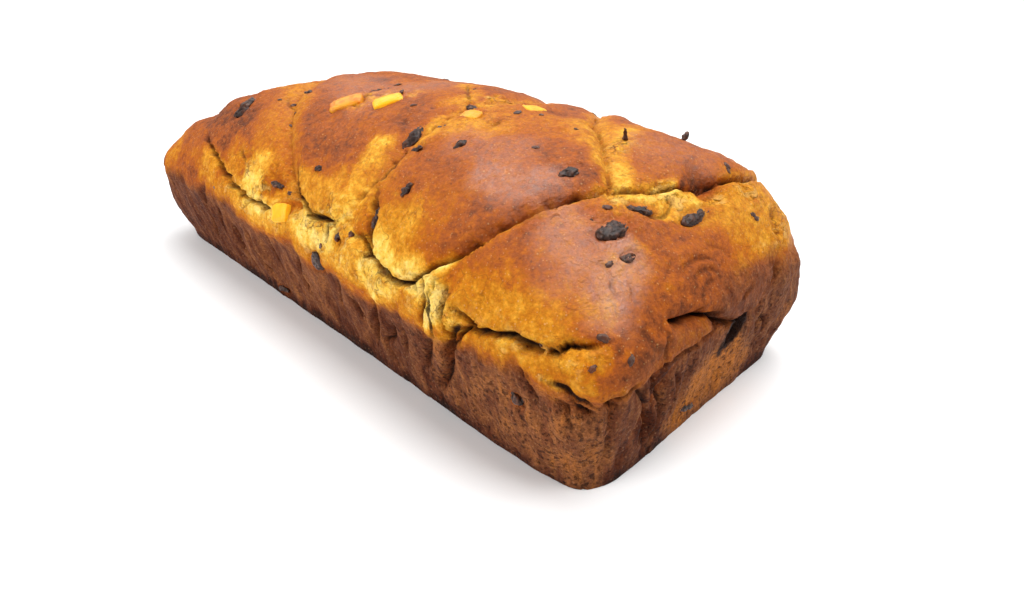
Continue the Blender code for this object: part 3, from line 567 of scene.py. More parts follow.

# browning painted on: face, way in its two coordinates, radius, browning, strength
# 0 is the palest seam and 1 the darkest crust
paint = [
    ("top", [(-72, -18), (-55, -28), (-44, -35)], 9, 0.46, 0.85),
    ("top", [(-100, -42), (-84, -50), (-70, -48)], 10, 0.92, 0.9),
    ("top", [(-96, -57), (-86, -58)], 5, 0.80, 0.9),
    ("front", [(-118, 54), (-102, 48), (-92, 50)], 8, 0.74, 0.9),
    ("top", [(-50, -44), (-42, -50)], 8, 0.50, 0.85),
    ("top", [(-56, -44), (-47, -52), (-34, -54)], 9, 0.62, 0.8),
    ("top", [(-64, -60), (-54, -62)], 5, 0.40, 0.8),
    ("top", [(-42, -61), (-32, -62)], 5, 0.20, 0.9),
    ("top", [(-26, -56), (-20, -60)], 5, 0.60, 0.9),
    ("top", [(-18, -26), (-14, -24)], 6, 0.42, 0.9),
    ("top", [(-12, -26), (-8, -27)], 5, 0.55, 0.7),
    ("top", [(-14, -50), (0, -50), (10, -48)], 9, 0.84, 0.8),
    ("top", [(-12, -59), (6, -60), (14, -58)], 6, 0.34, 0.9),
    ("top", [(22, -42), (28, -40)], 5, 0.22, 0.9),
    ("top", [(34, -46), (38, -42)], 5, 0.62, 0.9),
    ("top", [(25, -53), (34, -57)], 6, 0.34, 0.9),
    ("top", [(42, -27), (50, -25), (58, -20)], 7, 0.36, 0.9),
    ("top", [(30, -13), (36, -10)], 5, 0.50, 0.8),
    ("top", [(56, -34), (66, -34)], 7, 0.74, 0.85),
    ("top", [(45, -6), (47, -7)], 5, 0.30, 0.9),
    ("top", [(17, 11), (30, 0), (38, -9)], 4, 0.38, 0.85),
    ("top", [(60, -12), (76, -2), (90, 2)], 13, 0.50, 0.75),
    ("top", [(50, -61), (62, -58), (70, -58)], 7, 0.36, 0.9),
    ("top", [(72, -60), (76, -52), (84, -50)], 7, 0.68, 0.85),
    # lighter crust under the shine on the middle strand: partly painted highlight
    ("top", [(74, -36), (88, -38), (97, -30), (101, -24)], 9, 0.70, 0.85),
    ("top", [(81, -56), (87, -50), (94, -42), (100, -33), (105, -24)], 4.2, 0.84, 0.9),
    ("top", [(113, -18), (101, -6), (93, 2), (80, 13)], 8, 0.34, 0.95),
    ("top", [(97, 12), (92, 24)], 8, 0.45, 0.8),
    ("top", [(117, -16), (122, -4), (126, 8)], 7, 0.20, 0.95),
    ("top", [(124, -8), (129, 0), (133, 6)], 4, 0.24, 0.9),
    ("top", [(130, 14), (134, 34)], 7, 0.42, 0.85),
    ("top", [(136, 18), (140, 36), (142, 48)], 9, 0.34, 0.85),
    ("top", [(122, 9), (125, 19)], 3.5, 0.98, 0.95),
    ("top", [(100, -2), (98, 4), (94, 18)], 4, 0.30, 0.9),
    ("top", [(113, -12), (108, -8)], 4, 0.2, 0.9),
    ("top", [(100, -24), (105, -21), (108, -17)], 4, 0.92, 0.95),
    ("top", [(116, -34), (121, -30)], 4, 0.70, 0.9),
    ("top", [(26, -47), (29, -45)], 4, 0.3, 0.9),
    ("top", [(109, -15), (111, -16)], 3, 0.35, 0.9),
    ("top", [(119, 20), (123, 24)], 5, 0.84, 0.85),
    ("top", [(-34, -1), (-30, 0)], 4, 0.95, 0.9),
    ("end", [(-55, 44), (-45, 52), (-24, 59), (-8, 62), (2, 63)], 7, 0.70, 0.95),
    ("top", [(100, -61), (118, -62), (130, -58)], 8, 0.44, 0.85),
    ("top", [(112, -42), (120, -46)], 8, 0.68, 0.9),
    ("top", [(122, -50), (131, -49)], 7, 0.70, 0.9),
    # lighter crust under the shine on the near strand: partly painted highlight
    ("top", [(130, -38), (134, -34), (133, -28)], 6, 0.56, 0.95),
    ("top", [(136, -46), (138, -48)], 3.2, 0.44, 0.95),
    ("front", [(84, 56), (86, 49), (86, 40)], 3, 0.10, 0.95),
    ("top", [(98, -59), (103, -55)], 5, 0.74, 0.85),
    ("front", [(-132, 50), (-122, 52)], 6, 0.45, 0.8),
    ("front", [(-86, 54), (-75, 50)], 6, 0.42, 0.9),
    ("front", [(-60, 49), (-48, 47)], 5, 0.30, 0.9),
    ("front", [(-45, 56), (-34, 57)], 5, 0.14, 0.95),
    ("front", [(-4, 52), (12, 51), (24, 51)], 6, 0.08, 0.95),
    ("front", [(0, 40), (8, 40)], 4, 0.40, 0.8),
    ("front", [(30, 49), (42, 47)], 5, 0.34, 0.85),
    ("front", [(50, 51), (66, 50), (80, 53)], 5, 0.04, 0.95),
    ("front", [(44, 38), (58, 42)], 5, 0.40, 0.85),
    ("front", [(-40, 49), (-24, 50), (-16, 50)], 5, 0.06, 0.9),
    ("front", [(-11, 55), (-7, 53)], 3.5, 0.62, 0.9),
    ("front", [(-68, 52), (-62, 52)], 4, 0.54, 0.9),
    ("front", [(-96, 46), (-88, 46)], 4, 0.92, 0.9),
    ("front", [(36, 62), (41, 62)], 4, 0.62, 0.9),
    ("front", [(50, 44), (58, 43)], 4.5, 0.12, 0.9),
    ("front", [(84, 58), (86, 50), (85, 44)], 3.5, 0.06, 0.95),
    ("front", [(86, 39), (93, 43)], 3.5, 0.55, 0.9),
    ("front", [(82, 59), (86, 62)], 3, 0.08, 0.95),
    ("front", [(96, 47), (120, 47), (140, 46)], 6, 0.40, 0.9),
    ("front", [(116, 50), (122, 47)], 4, 0.24, 0.9),
    ("front", [(136, 51), (137, 46)], 2.5, 0.12, 0.95),
    ("front", [(129, 43), (134, 42.5), (138, 40)], 2.0, 0.12, 0.95),
    ("front", [(128, 47), (137, 46)], 5, 0.58, 0.85),
    ("front", [(-19, 47), (-12, 45)], 4, 0.36, 0.9),
    ("front", [(72, 46), (78, 44)], 4, 0.5, 0.85),
    ("front", [(34, 40), (42, 38)], 4, 0.62, 0.85),
    ("front", [(50, 56), (62, 53), (74, 56)], 6, 0.14, 0.95),
    ("front", [(22, 62), (30, 63)], 6, 0.24, 0.9),
    ("front", [(96, 58), (118, 58)], 5, 0.40, 0.8),
    ("end", [(-2, 47), (12, 45), (25, 48)], 9, 0.92, 0.9),
    ("end", [(-46, 46), (-22, 47)], 6, 0.80, 0.85),
    ("end", [(-26, 46), (-14, 44)], 4, 0.66, 0.9),
    ("end", [(-31, 58), (-20, 60), (-2, 60)], 7, 0.78, 0.85),
    ("end", [(-50, 58), (-48, 60)], 3, 0.46, 0.9),
    ("end", [(-52, 52), (-44, 55)], 5, 0.80, 0.95),
    ("end", [(-30, 52), (-16, 54), (-4, 54)], 6, 0.88, 0.9),
    ("end", [(-53, 45), (-50, 44), (-40, 49)], 5, 0.94, 0.9),
    ("end", [(-62, 49), (-58, 51)], 4, 0.42, 0.9),
    ("end", [(18, 57), (28, 54)], 5, 0.55, 0.85),
    ("end", [(30, 60), (44, 57), (54, 50)], 9, 0.38, 0.9),
]
# lightness painted on the tin-baked wall
wallPaint = [
    ("end", [(-12, 8), (-4, 18), (8, 22)], 11, 0.98, 0.95),
    ("end", [(4, 8), (22, 10)], 11, 0.92, 0.95),
    ("end", [(-30, 24), (-32, 8)], 6, 0.40, 0.8),
    ("end", [(-24, 34), (-12, 33)], 6, 0.52, 0.8),
    ("end", [(-36, 36), (-36, 8)], 8, 0.40, 0.8),
    ("end", [(-32, 34), (-36, 30)], 4, 0.10, 0.8),
    ("end", [(38, 30), (50, 20)], 16, 0.55, 0.7),
    ("front", [(100, 20), (130, 14)], 20, 0.62, 0.8),
    ("front", [(138, 26), (142, 8)], 10, 0.68, 0.8),
    ("front", [(-140, 24), (-90, 22)], 22, 0.30, 0.8),
    ("front", [(-40, 26), (0, 22)], 16, 0.54, 0.6),
    ("front", [(30, 26), (44, 14)], 14, 0.48, 0.6),
]
# crust that browned against the tin above its rim: a share of the wall's colour
mixedPaint = [
    ("end", [(-4, 45), (10, 42), (24, 42), (30, 48)], 7, 0.8, 0.95),
    ("end", [(0, 51), (10, 52), (20, 50)], 5, 0.75, 0.9),
    ("end", [(-48, 43), (-42, 45), (-26, 47), (-16, 45)], 4, 0.5, 0.9),
    ("front", [(85, 34), (93, 33)], 5, 0.9, 0.8),
]
# matt, pale feet of the strands where they lay against each other
mattPaint = [
    ("front", [(51, 57), (62, 54), (74, 57)], 6, 1.0, 1.0),
    ("front", [(20, 62), (32, 63)], 6, 0.8, 1.0),
    ("front", [(84, 60), (86, 50), (85, 40)], 5, 0.9, 1.0),
    ("top", [(114, -18), (122, -4), (128, 12), (131, 30)], 6, 0.7, 1.0),
]

# shine of the brushed crust
glazePaint = [
    ("top", [(80, -37), (90, -38), (97, -31)], 8, 0.75, 1.0),
    ("top", [(60, -30), (80, -26)], 9, 0.4, 1.0),
    ("top", [(114, -40), (124, -46)], 9, 0.7, 1.0),
    ("top", [(126, -32), (131, -31), (134, -40), (136, -45)], 6.5, 0.95, 1.0),
    ("top", [(-40, -8), (-8, -18), (4, 0)], 16, 0.45, 1.0),
    ("top", [(104, 14), (116, 24)], 12, 0.3, 1.0),
]


def onFace(points, normals, face):
    if face == "top":
        return smoothStep(0.15, 0.4, normals[:, 2]) * (points[:, 2] > 50)
    if face == "front":
        return smoothStep(-46, -56, points[:, 1])
    return smoothStep(122, 134, points[:, 0])


def brush(values, points, warped, normals, strokes):
    axes = {"top": (0, 1), "front": (0, 2), "end": (1, 2)}
    for face, way, radius, value, strength in strokes:
        a, b = axes[face]
        flat = warped[:, (a, b)]
        knots = np.array(way, dtype=float)
        far = np.full(len(points), 1e9)
        for p, q in zip(knots, knots[1:]):
            t = np.clip((flat - p) @ (q - p) / max(((q - p) ** 2).sum(), 1e-6), 0, 1)
            far = np.minimum(far, np.linalg.norm(flat - p - np.outer(t, q - p), axis=1))
        weight = (1 - smoothStep(0.2, 1.45, far / radius)) * strength * onFace(points, normals, face)
        values = values * (1 - weight) + value * weight
    return values


bm, basePoints, baseNormals, onBase = loafBase()
# noises that many steps share, so that relief and browning wander together
wander = perlin(basePoints, 3.2, (2.2, 8.1, 4.4))
drift = perlin(basePoints, 6.5, (5.2, 3.1, 7.4))
# upright flutes of the wall, which lean one way along the loaf and the other beside the notch
baseX, baseZ = basePoints[:, 0], basePoints[:, 2]
lean = np.interp(baseX, (-150, 100, 118), (-0.35, -0.35, 0.45))
lean = np.where(baseZ > 15, lean, 0.6) * (baseZ - 15)
slant = np.stack([lean * (np.abs(baseX) < 140), 0.5 * baseZ * (np.abs(baseX) > 140), 0 * lean], axis=1)
patchy = np.clip(0.55 + 1.3 * perlin(basePoints * (1, 1, 0.5), 26.0, (6.7, 1.3, 2.1)), 0.12, 1.15)
patchy *= np.interp(baseX, (70, 100), (1, 0.55))
flutes = perlin((basePoints + slant) * (1, 1, 0.18), 9.0, (1.7, 3.3, 6.1)) * patchy
flutes += 0.3 * perlin((basePoints + slant) * (1, 1, 0.2), 4.2, (4.7, 2.3, 1.1))
edgeSoftness = np.interp(baseX, (-150, 120, 140), (3.5, 3.5, 7.0))
print("loaf grid:", len(basePoints), "points")


def loafHeights(points, normals, places):
    s = loafSpec
    z = points[:, 2]
    upright = 1 - np.abs(normals[:, 2])
    depth, gold, crackShade = foldRelief(points, normals)
    height = -depth
    for x, y, zz, radius, swell in lumps:
        height += swell * np.exp(-((np.linalg.norm(points - (x, y, zz), axis=1) / radius) ** 2))
    band = np.clip(1 - ((z - s["bandMiddle"]) / s["bandHalfHeight"]) ** 2, 0, 1)
    height += s["bandBulge"] * band * upright
    tall = points * (1, 1, s["wrinkleSpacing"] / s["wrinkleLength"])
    ridges = 1 - np.abs(perlin(tall, s["wrinkleSpacing"], (3.1, 7.7, 1.3))) * 2.2
    wallZone = np.clip((s["rimHeight"] + 8 - z) / 12, 0, 1) * np.clip(z / 10, 0.25, 1) * upright
    height -= s["wrinkleDepth"] * np.clip(ridges, 0, 1) ** 2 * wallZone
    risen = np.clip((z - s["rimHeight"]) / 20, 0, 1)
    height += s["swellHeight"] * perlin(points, s["swellSize"], (0.4, 5.2, 9.1)) * risen
    torn = np.zeros(len(points))
    for x, y, zz, radius in tornPlaces:
        far = np.linalg.norm(points - (x, y, zz), axis=1) / radius
        torn = np.maximum(torn, smoothStep(1.3, 0.6, far + 0.5 * wander))
    rifts = np.abs(perlin(points + 1.5 * np.stack([wander, drift, wander], axis=1), 6.0, (0.7, 2.9, 8.1)))
    plates = s["tornHeight"] * perlin(points, 4.6, (5.9, 0.1, 1.4))
    height += torn * (plates - s["riftDepth"] * smoothStep(0.10, 0.0, rifts))
    # painted shade in the rifts between the torn plates
    crackShade = np.maximum(crackShade, 0.6 * torn * smoothStep(0.06, 0.015, rifts) * smoothStep(-0.2, 0.1, drift))
    gold = np.maximum(gold, 0.9 * torn * smoothStep(-0.1, 0.2, perlin(points, 5.0, (3.3, 6.1, 0.8)) + 0.15))
    # finer relief
    sheared = points + slant
    rough = perlin(points, 2.4, (7.1, 0.2, 3.3))
    overWall = z - wallHeight(points) + 0.9 * wander
    wallMask = smoothStep(edgeSoftness, -edgeSoftness, overWall)
    pits = smoothStep(0.34, 0.12, cells(sheared * (1, 1, 0.8), 2.7, (3.0, 1.0, 2.0)))
    pitZone = brush(np.full(len(points), 0.25), points, points, normals, [
        ("front", [(85, 16), (145, 14)], 28, 1.0, 1.0), ("end", [(-25, 14), (40, 18)], 26, 1.0, 1.0)])
    fluted = s["fluteDepth"] * np.clip(flutes, -0.25, 0.8) * smoothStep(2, 12, z)
    height -= wallMask * (fluted + s["pitDepth"] * pits * pitZone + s["roughDepth"] * np.abs(rough))
    dripZone = smoothStep(34, 42, z) * smoothStep(60, 52, z) * upright
    knobs = np.abs(perlin(points, 5.2, (6.1, 2.2, 8.3)))
    drips = s["knobHeight"] * (0.25 - knobs) - s["dripDepth"] * np.clip(flutes, -0.4, 0.6)
    height += dripZone * (drips + s["dripRoughness"] * rough)
    height += s["dripLip"] * dripZone * smoothStep(-1.5, 1.5, overWall) * (points[:, 0] < 142)
    skin = perlin(points * (1, 1, 1.4), 7.0, (9.3, 2.1, 0.6)) * 0.4
    skin += perlin(points, 3.0, (0.6, 4.4, 2.7)) * 0.22
    pulled = alongStrands(points, 0.22)
    creased = smoothStep(0.0, 0.35, perlin(points, 13.0, (1.1, 6.3, 3.7)))
    creases = np.clip(1 - 3.2 * np.abs(perlin(pulled, 4.2, (2.9, 0.7, 5.8))), 0, 1) * creased
    skin += 0.3 * perlin(pulled, 2.4, (8.9, 4.1, 0.2)) - s["creaseDepth"] * creases
    height += skin * risen
    height += np.clip(perlin(points, 1.9, (4.2, 6.6, 0.9)) - 0.35, 0, 1) * s["blisterHeight"] * risen
    height += s["footSwell"] * perlin(points, 9.0, (3.9, 2.8, 7.5)) * smoothStep(9, 3, z)
    ring, stainAndFoldShade = fruitRing(points, normals, places)
    up = z - hole["z"]
    away = np.hypot((points[:, 1] - hole["y"] - hole["lean"] * up) / hole["halfWidth"],
                    up / hole["halfHeight"])
    away += 0.15 * wander
    opened = smoothStep(1.12, 0.85, away) * (points[:, 0] > 140)
    shaded = smoothStep(1.8, 1.45, away) * (points[:, 0] > 140)
    height -= hole["depth"] * opened
    ring *= 1 - opened
    # painted shade: the fold valleys darkened with their depth, over the stain round each fruit
    stainAndFoldShade = np.maximum(stainAndFoldShade, 0.6 * smoothStep(0.8, 2.6, depth))
    wallMask = brush(wallMask, points, points, normals, mixedPaint)
    # painted shade: the cracks and the inside of the hole darkened
    crackAndHoleShade = np.clip(np.maximum(crackShade, shaded), 0, 1)
    return height + ring, gold, crackAndHoleShade, stainAndFoldShade, wallMask, 0.2 * pits * pitZone, pitZone * wallMask, torn


places = fruitPlaces()
height, gold, crackShade, stainAndFoldShade, wallMask, pits, porous, torn = loafHeights(basePoints, baseNormals, places)
print("crust relief done, from", round(height.min(), 1), "to", round(height.max(), 1), "mm")


def browning(points, normals):
    z = points[:, 2]
    around = aroundLoaf(points)
    wavy = [perlin(points, 9.0, (k * 3.3, 1.0, k)) * 4 + perlin(points, 3.5, (k, 5.0, 2 * k))
            for k in (1, 2, 3)]
    warped = points + np.stack(wavy, axis=1)
    bake = 0.76 + 0.10 * perlin(points, 30.0, (8.8, 1.2, 0.4)) + 0.07 * perlin(points, 11.0, (1.8, 7.2, 2.4))
    bake = bake * (1 - 0.9 * gold) + 0.33 * 0.9 * gold
    # the band that rose above the tin: palest along the front, browner round the ends
    seam = np.interp(points[:, 0], (-150, -99, -86, -63, -40, -6, 23, 36, 56, 72, 92, 119, 141, 150),
                     (58, 63, 61, 55, 51, 56, 58, 56, 52, 54, 51, 53, 55, 57)) + 1.5
    over = z - wallHeight(points)
    upright = 1 - np.abs(normals[:, 2])
    bandZone = smoothStep(2.5, -1.5, z - seam + 1.5 * wander) * smoothStep(0.3, 0.5, upright)
    paleness = np.interp(around, (0, 60, 100, 290, 305, 345, 430, 460, 700, 750, 876),
                         (0.5, 0.6, 1, 0.8, 0.35, 0.2, 0.55, 0.8, 0.8, 0.4, 0.5))
    climb = smoothStep(-5, 10, over + wander)
    band = 0.72 * (1 - climb) + (0.60 - 0.36 * paleness) * climb
    bake = bake * (1 - bandZone) + band * bandZone
    bake = brush(bake, points, warped, normals, paint)
    # drips of darker crust stay over the paint low on the band
    low = smoothStep(7, -3, over + wander) * smoothStep(0.3, 0.5, upright)
    bake = bake * (1 - low) + np.maximum(bake, 0.66) * low
    bake += 0.10 * np.clip(flutes, -0.5, 0.7) * bandZone + 0.06 * wander
    # painted shade: the wall darkened towards its foot, where it meets the floor
    wallTone = 0.44 - 0.5 * smoothStep(7.5, 1, z) + 0.12 * perlin(points, 16.0, (2.0, 9.0, 4.0))
    # painted shade: the wall darker in its flute grooves
    wallTone -= 0.32 * np.clip(flutes, -0.5, 0.6) * (around < 300)
    wallTone = brush(wallTone, points, warped, normals, wallPaint)
    matt = brush(np.zeros(len(points)), points, warped, normals, mattPaint)
    glaze = 0.12 * smoothStep(0.5, 0.9, normals[:, 2])
    glaze += 0.3 * smoothStep(0.1, 0.6, normals[:, 1]) * smoothStep(0.2, 0.5, normals[:, 2])
    glaze = brush(glaze, points, warped, normals, glazePaint)
    frayed = np.clip(bandZone * (0.4 + 1.5 * drift + 0.8 * wander) + torn, 0, 1) * (1 - wallMask)
    frayed *= smoothStep(0.55, 0.3, bake)
    return bake, wallTone, glaze * (1 - matt), frayed


bake, wallTone, glaze, frayed = browning(basePoints, baseNormals)
print("browning painted")


def addAttribute(mesh, name, values):
    made = mesh.attributes.new(name, "FLOAT", "POINT")
    made.data.foreach_set("value", values.astype(np.float32))


def finishLoaf():
    points = basePoints + baseNormals * height[:, None]
    points[:, 2] = np.where(onBase, 0.0, np.maximum(points[:, 2], 0.15))
    low, high = (np.array(corner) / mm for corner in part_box("loaf"))
    middle = (points.max(axis=0) + points.min(axis=0)) / 2
    shift = (low + high) / 2 - middle
    points[:, :2] += shift[:2]
    points = np.clip(points, low - 0.1, high + 0.1)
    for vertex, point in zip(bm.verts, points):
        vertex.co = point * mm
    mesh = bpy.data.meshes.new("bread_loaf")
    bm.to_mesh(mesh)
    bm.free()
    fields = {"bake": bake, "wall": wallMask, "wallTone": wallTone, "crackShade": crackShade, "stainAndFoldShade": stainAndFoldShade,
              "glaze": glaze,
              "pits": pits, "porous": porous, "frayed": frayed}
    for name, values in fields.items():
        addAttribute(mesh, name, np.clip(values, 0, 1))
    mesh.shade_smooth()
    loaf = bpy.data.objects.new("bread_loaf", mesh)
    bpy.context.scene.collection.objects.link(loaf)
    return loaf


loaf = finishLoaf()
crust = BVHTree.FromPolygons([v.co[:] for v in loaf.data.vertices],
                             [p.vertices[:] for p in loaf.data.polygons])
print("loaf finished:", len(loaf.data.polygons), "faces")

# dried fruit: how finely it is divided, how deep its wrinkles are
fruitSpec = {
    "raisinLevels": 2,
    "peelLevels": 3,
    "wrinkleDepth": 0.36,
    "wrinkleSize": 1.3,
    "foldDepth": 0.42,
    "foldSize": 3.2,
    "peelDent": 0.22,
    "peelFold": 0.1,
    "raisinSink": 0.35,
    "raisinLumps": 0.7,
    "peelPower": 0.5,
    "peelSink": 0.7,
    "peelSpread": 1.3,
}
# how far each piece of peel is from yellow to amber
peelTones = {
    "peel_01": 0.05, "peel_02": 0.85, "peel_03": 0.2, "peel_04": 0.15, "peel_05": 0.6, "peel_06": 0.4,
    "peel_07": 0.5,
}


def fineCopy(node, levels):
    mesh = node.data.copy()
    mesh.materials.clear()
    made = bpy.data.objects.new("fine", mesh)
    bpy.context.scene.collection.objects.link(made)
    weld = made.modifiers.new("weld", "WELD")
    weld.merge_threshold = 1e-6
    fine = made.modifiers.new("fine", "SUBSURF")
    fine.levels = fine.render_levels = levels
    bpy.context.view_layer.update()
    result = bpy.data.meshes.new_from_object(made.evaluated_get(bpy.context.evaluated_depsgraph_get()))
    bpy.data.objects.remove(made)
    return result


def joined(name, meshes):
    joint = bmesh.new()
    for mesh in meshes:
        joint.from_mesh(mesh)
    whole = bpy.data.meshes.new(name)
    joint.to_mesh(whole)
    joint.free()
    whole.shade_smooth()
    made = bpy.data.objects.new(name, whole)
    bpy.context.scene.collection.objects.link(made)
    return made


def wrinkledFruit(node, levels, wrinkle, crease, seed, tone=None):
    mesh = fineCopy(node, levels)
    count = len(mesh.vertices)
    points, normals = np.empty(count * 3), np.empty(count * 3)
    mesh.vertices.foreach_get("co", points)
    mesh.vertices.foreach_get("normal", normals)
    points, normals = points.reshape(-1, 3) / mm, normals.reshape(-1, 3)
    fineWrinkle = np.abs(perlin(points, fruitSpec["wrinkleSize"], (seed, 1.0, 2.0)))
    broadFold = np.abs(perlin(points, fruitSpec["foldSize"], (seed, 3.0, 5.0)))
    lift = -wrinkle * (1 - 2.4 * fineWrinkle) - crease * (1 - 2.6 * broadFold)
    if tone is None:
        lift += fruitSpec["raisinLumps"] * perlin(points, 4.5, (2.0, seed, 7.0))
    points = points + normals * np.clip(lift + 0.15, -0.8, 0.5)[:, None]
    if tone is None:
        _, out, _, _ = crust.find_nearest(Vector(points.mean(axis=0) * mm))
        points = points - np.array(out) * fruitSpec["raisinSink"]
    else:
        points = squared(points, fruitSpec["peelPower"], fruitSpec["peelSink"], fruitSpec["peelSpread"])
    mesh.vertices.foreach_set("co", (points * mm).ravel())
    value = (seed * 0.6180339) % 1.0 if tone is None else tone
    addAttribute(mesh, "tone", np.full(count, value))
    addAttribute(mesh, "groove", np.clip(1 - 3 * np.minimum(fineWrinkle, broadFold), 0, 1))
    return mesh


# crumbs of raisin in the crust: face, place on it, length, turn
crumbs = [
    ("top", -13, -3, 3.6, 20), ("end", -48, 49, 3.4, 60), ("front", 140, 55, 3.8, 10),
    ("front", 126, 51, 3.2, 40), ("front", 35, 56, 4.0, 80), ("front", -12, 58, 3.0, 0),
    ("front", 142, 49, 3.0, 30), ("top", 140, 30, 3.0, 60), ("top", 125, 33, 3.2, 0),
    ("top", 118, -25, 3.4, 50), ("top", 130, -38, 3.0, 90), ("top", -60, -34, 2.4, 30),
    ("top", -50, -33, 2.6, 70), ("top", -42, -37, 2.8, 10), ("top", -38, -42, 2.4, 0),
    ("top", 2, -12, 3.2, 120), ("top", 126, 32, 2.6, 0), ("top", 139, 29, 2.6, 40),
    ("top", 60, -4, 3.4, 100), ("top", 20, -20, 3.0, 60), ("front", -70, 47, 2.6, 0),
    ("front", 20, 48, 2.8, 60), ("top", 84, -20, 2.6, 40), ("top", 66, 2, 3.0, 150),
    ("top", -95, 20, 3.2, 20), ("top", -20, 30, 3.4, 80), ("top", 60, 40, 3.0, 10),
    ("top", 10, 52, 3.2, 50),
]
faceRays = {
    "top": (lambda a, b: (a, b, 200), (0, 0, -1), (1, 0, 0), (0, 1, 0)),
    "front": (lambda a, b: (a, -200, b), (0, 1, 0), (1, 0, 0), (0, 0, 1)),
    "end": (lambda a, b: (300, a, b), (-1, 0, 0), (0, 1, 0), (0, 0, 1)),
}


def crumbMesh(face, a, b, length, turn, seed):
    start, way, across, along = faceRays[face]
    spot, out, _, _ = crust.ray_cast(Vector(start(a, b)) * mm, Vector(way))
    axis = Vector(across) * math.cos(math.radians(turn)) + Vector(along) * math.sin(math.radians(turn))
    axis = (axis - out * axis.dot(out)).normalized()
    place = Matrix((axis, out.cross(axis), out)).transposed()
    small = bmesh.new()
    bmesh.ops.create_icosphere(small, subdivisions=3, radius=1.0)
    for vertex in small.verts:
        rough = 1 + 0.5 * noise.noise(vertex.co * 1.7 + Vector((seed * 2.3, 0.4, 1.9)))
        size = Vector((length / 2, length / 3.4, length / 7)) * rough * mm
        vertex.co = spot + place @ Vector(c * s for c, s in zip(vertex.co, size))
    mesh = bpy.data.meshes.new("crumb")
    small.to_mesh(mesh)
    small.free()
    addAttribute(mesh, "tone", np.full(len(mesh.vertices), 0.9))
    addAttribute(mesh, "groove", np.full(len(mesh.vertices), 0.2))
    return mesh


def squared(points, power, sink, spread):
    # a softly angular block with the same axes, sunk a little into the crust
    middle = points.mean(axis=0)
    _, _, axes = np.linalg.svd(points - middle, full_matrices=False)
    local = (points - middle) @ axes.T
    half = np.abs(local).max(axis=0)
    local = np.sign(local) * np.abs(local / half) ** power * half * (1, spread, 1)
    near, out, _, _ = crust.find_nearest(Vector(middle * mm))
    return middle + local @ axes - np.array(out) * sink


def addFruit():
    raisinMeshes, peelMeshes = [], []
    for seed, (name, node) in enumerate(sorted(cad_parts.items())):
        if name.startswith("raisin"):
            sizes = (fruitSpec["raisinLevels"], fruitSpec["wrinkleDepth"], fruitSpec["foldDepth"])
            raisinMeshes.append(wrinkledFruit(node, *sizes, seed + 0.5))
        elif name.startswith("peel"):
            sizes = (fruitSpec["peelLevels"], fruitSpec["peelDent"], fruitSpec["peelFold"])
            peelMeshes.append(wrinkledFruit(node, *sizes, seed + 0.5, peelTones[name]))
    raisinMeshes += [crumbMesh(*crumb, seed) for seed, crumb in enumerate(crumbs)]
    return joined("raisins", raisinMeshes), joined("candied_peel", peelMeshes)


raisins, peel = addFruit()
print("fruit finished:", len(raisins.data.polygons), "and", len(peel.data.polygons), "faces")


def newMaterial(name):
    made = bpy.data.materials.new(name)
    made.use_nodes = True
    return made, made.node_tree, made.node_tree.nodes["Principled BSDF"]


def node(tree, kind, settings=None, inputs=None, links=None):
    made = tree.nodes.new(kind)
    for key, value in (settings or {}).items():
        setattr(made, key, value)
    for key, value in (inputs or {}).items():
        made.inputs[key].default_value = value
    for key, source in (links or {}).items():
        tree.links.new(source, made.inputs[key])
    return made


def ramp(tree, value, stops):
    # stops are (position, (r, g, b)) in display colours
    made = node(tree, "ShaderNodeValToRGB", links={"Fac": value})
    elements = made.color_ramp.elements
    while len(elements) > 1:
        elements.remove(elements[0])
    for k, (position, colour) in enumerate(stops):
        stop = elements[0] if k == 0 else elements.new(position)
        stop.position = position
        stop.color = tuple(linear(c) for c in colour) + (1.0,)
    return made.outputs["Color"]


def linear(c):
    c = c / 255
    return c / 12.92 if c <= 0.04045 else ((c + 0.055) / 1.055) ** 2.4


def newGroup(name, values):
    # an effect that takes a vector and named values and gives out a mask
    group = bpy.data.node_groups.new(name, "ShaderNodeTree")
    face = group.interface
    face.new_socket("Vector", in_out="INPUT", socket_type="NodeSocketVector")
    for key, value in values.items():
        face.new_socket(key, in_out="INPUT", socket_type="NodeSocketFloat").default_value = value
    face.new_socket("Mask", in_out="OUTPUT", socket_type="NodeSocketFloat")
    start, end = group.nodes.new("NodeGroupInput"), group.nodes.new("NodeGroupOutput")
    return group, start.outputs, end.inputs


def maskGroup():
    # noise turned into a soft mask between two levels
    group, given, wanted = newGroup("noiseMask", {"Scale": 100.0, "Detail": 3.0, "From": 0.45, "To": 0.6})
    clouds = node(group, "ShaderNodeTexNoise",
                  links={key: given[key] for key in ("Vector", "Scale", "Detail")})
    spread = node(group, "ShaderNodeMapRange",
                  links={"Value": clouds.outputs["Fac"], "From Min": given["From"], "From Max": given["To"]})
    group.links.new(spread.outputs["Result"], wanted["Mask"])
    return group


def poreGroup():
    # small pores or specks scattered over a surface
    group, given, wanted = newGroup("scatteredPores", {"Scale": 400.0, "Size": 0.25, "Share": 0.5})
    dots = node(group, "ShaderNodeTexVoronoi", links={key: given[key] for key in ("Vector", "Scale")})
    inside = node(group, "ShaderNodeMapRange", {"interpolation_type": "SMOOTHSTEP"},
                  {"To Min": 1.0, "To Max": 0.0},
                  {"Value": dots.outputs["Distance"], "From Max": given["Size"]})
    split = node(group, "ShaderNodeSeparateColor", links={"Color": dots.outputs["Color"]})
    chosen = maths(group, "LESS_THAN", split.outputs[0], given["Share"])
    both = maths(group, "MULTIPLY", inside.outputs["Result"], chosen)
    group.links.new(both, wanted["Mask"])
    return group


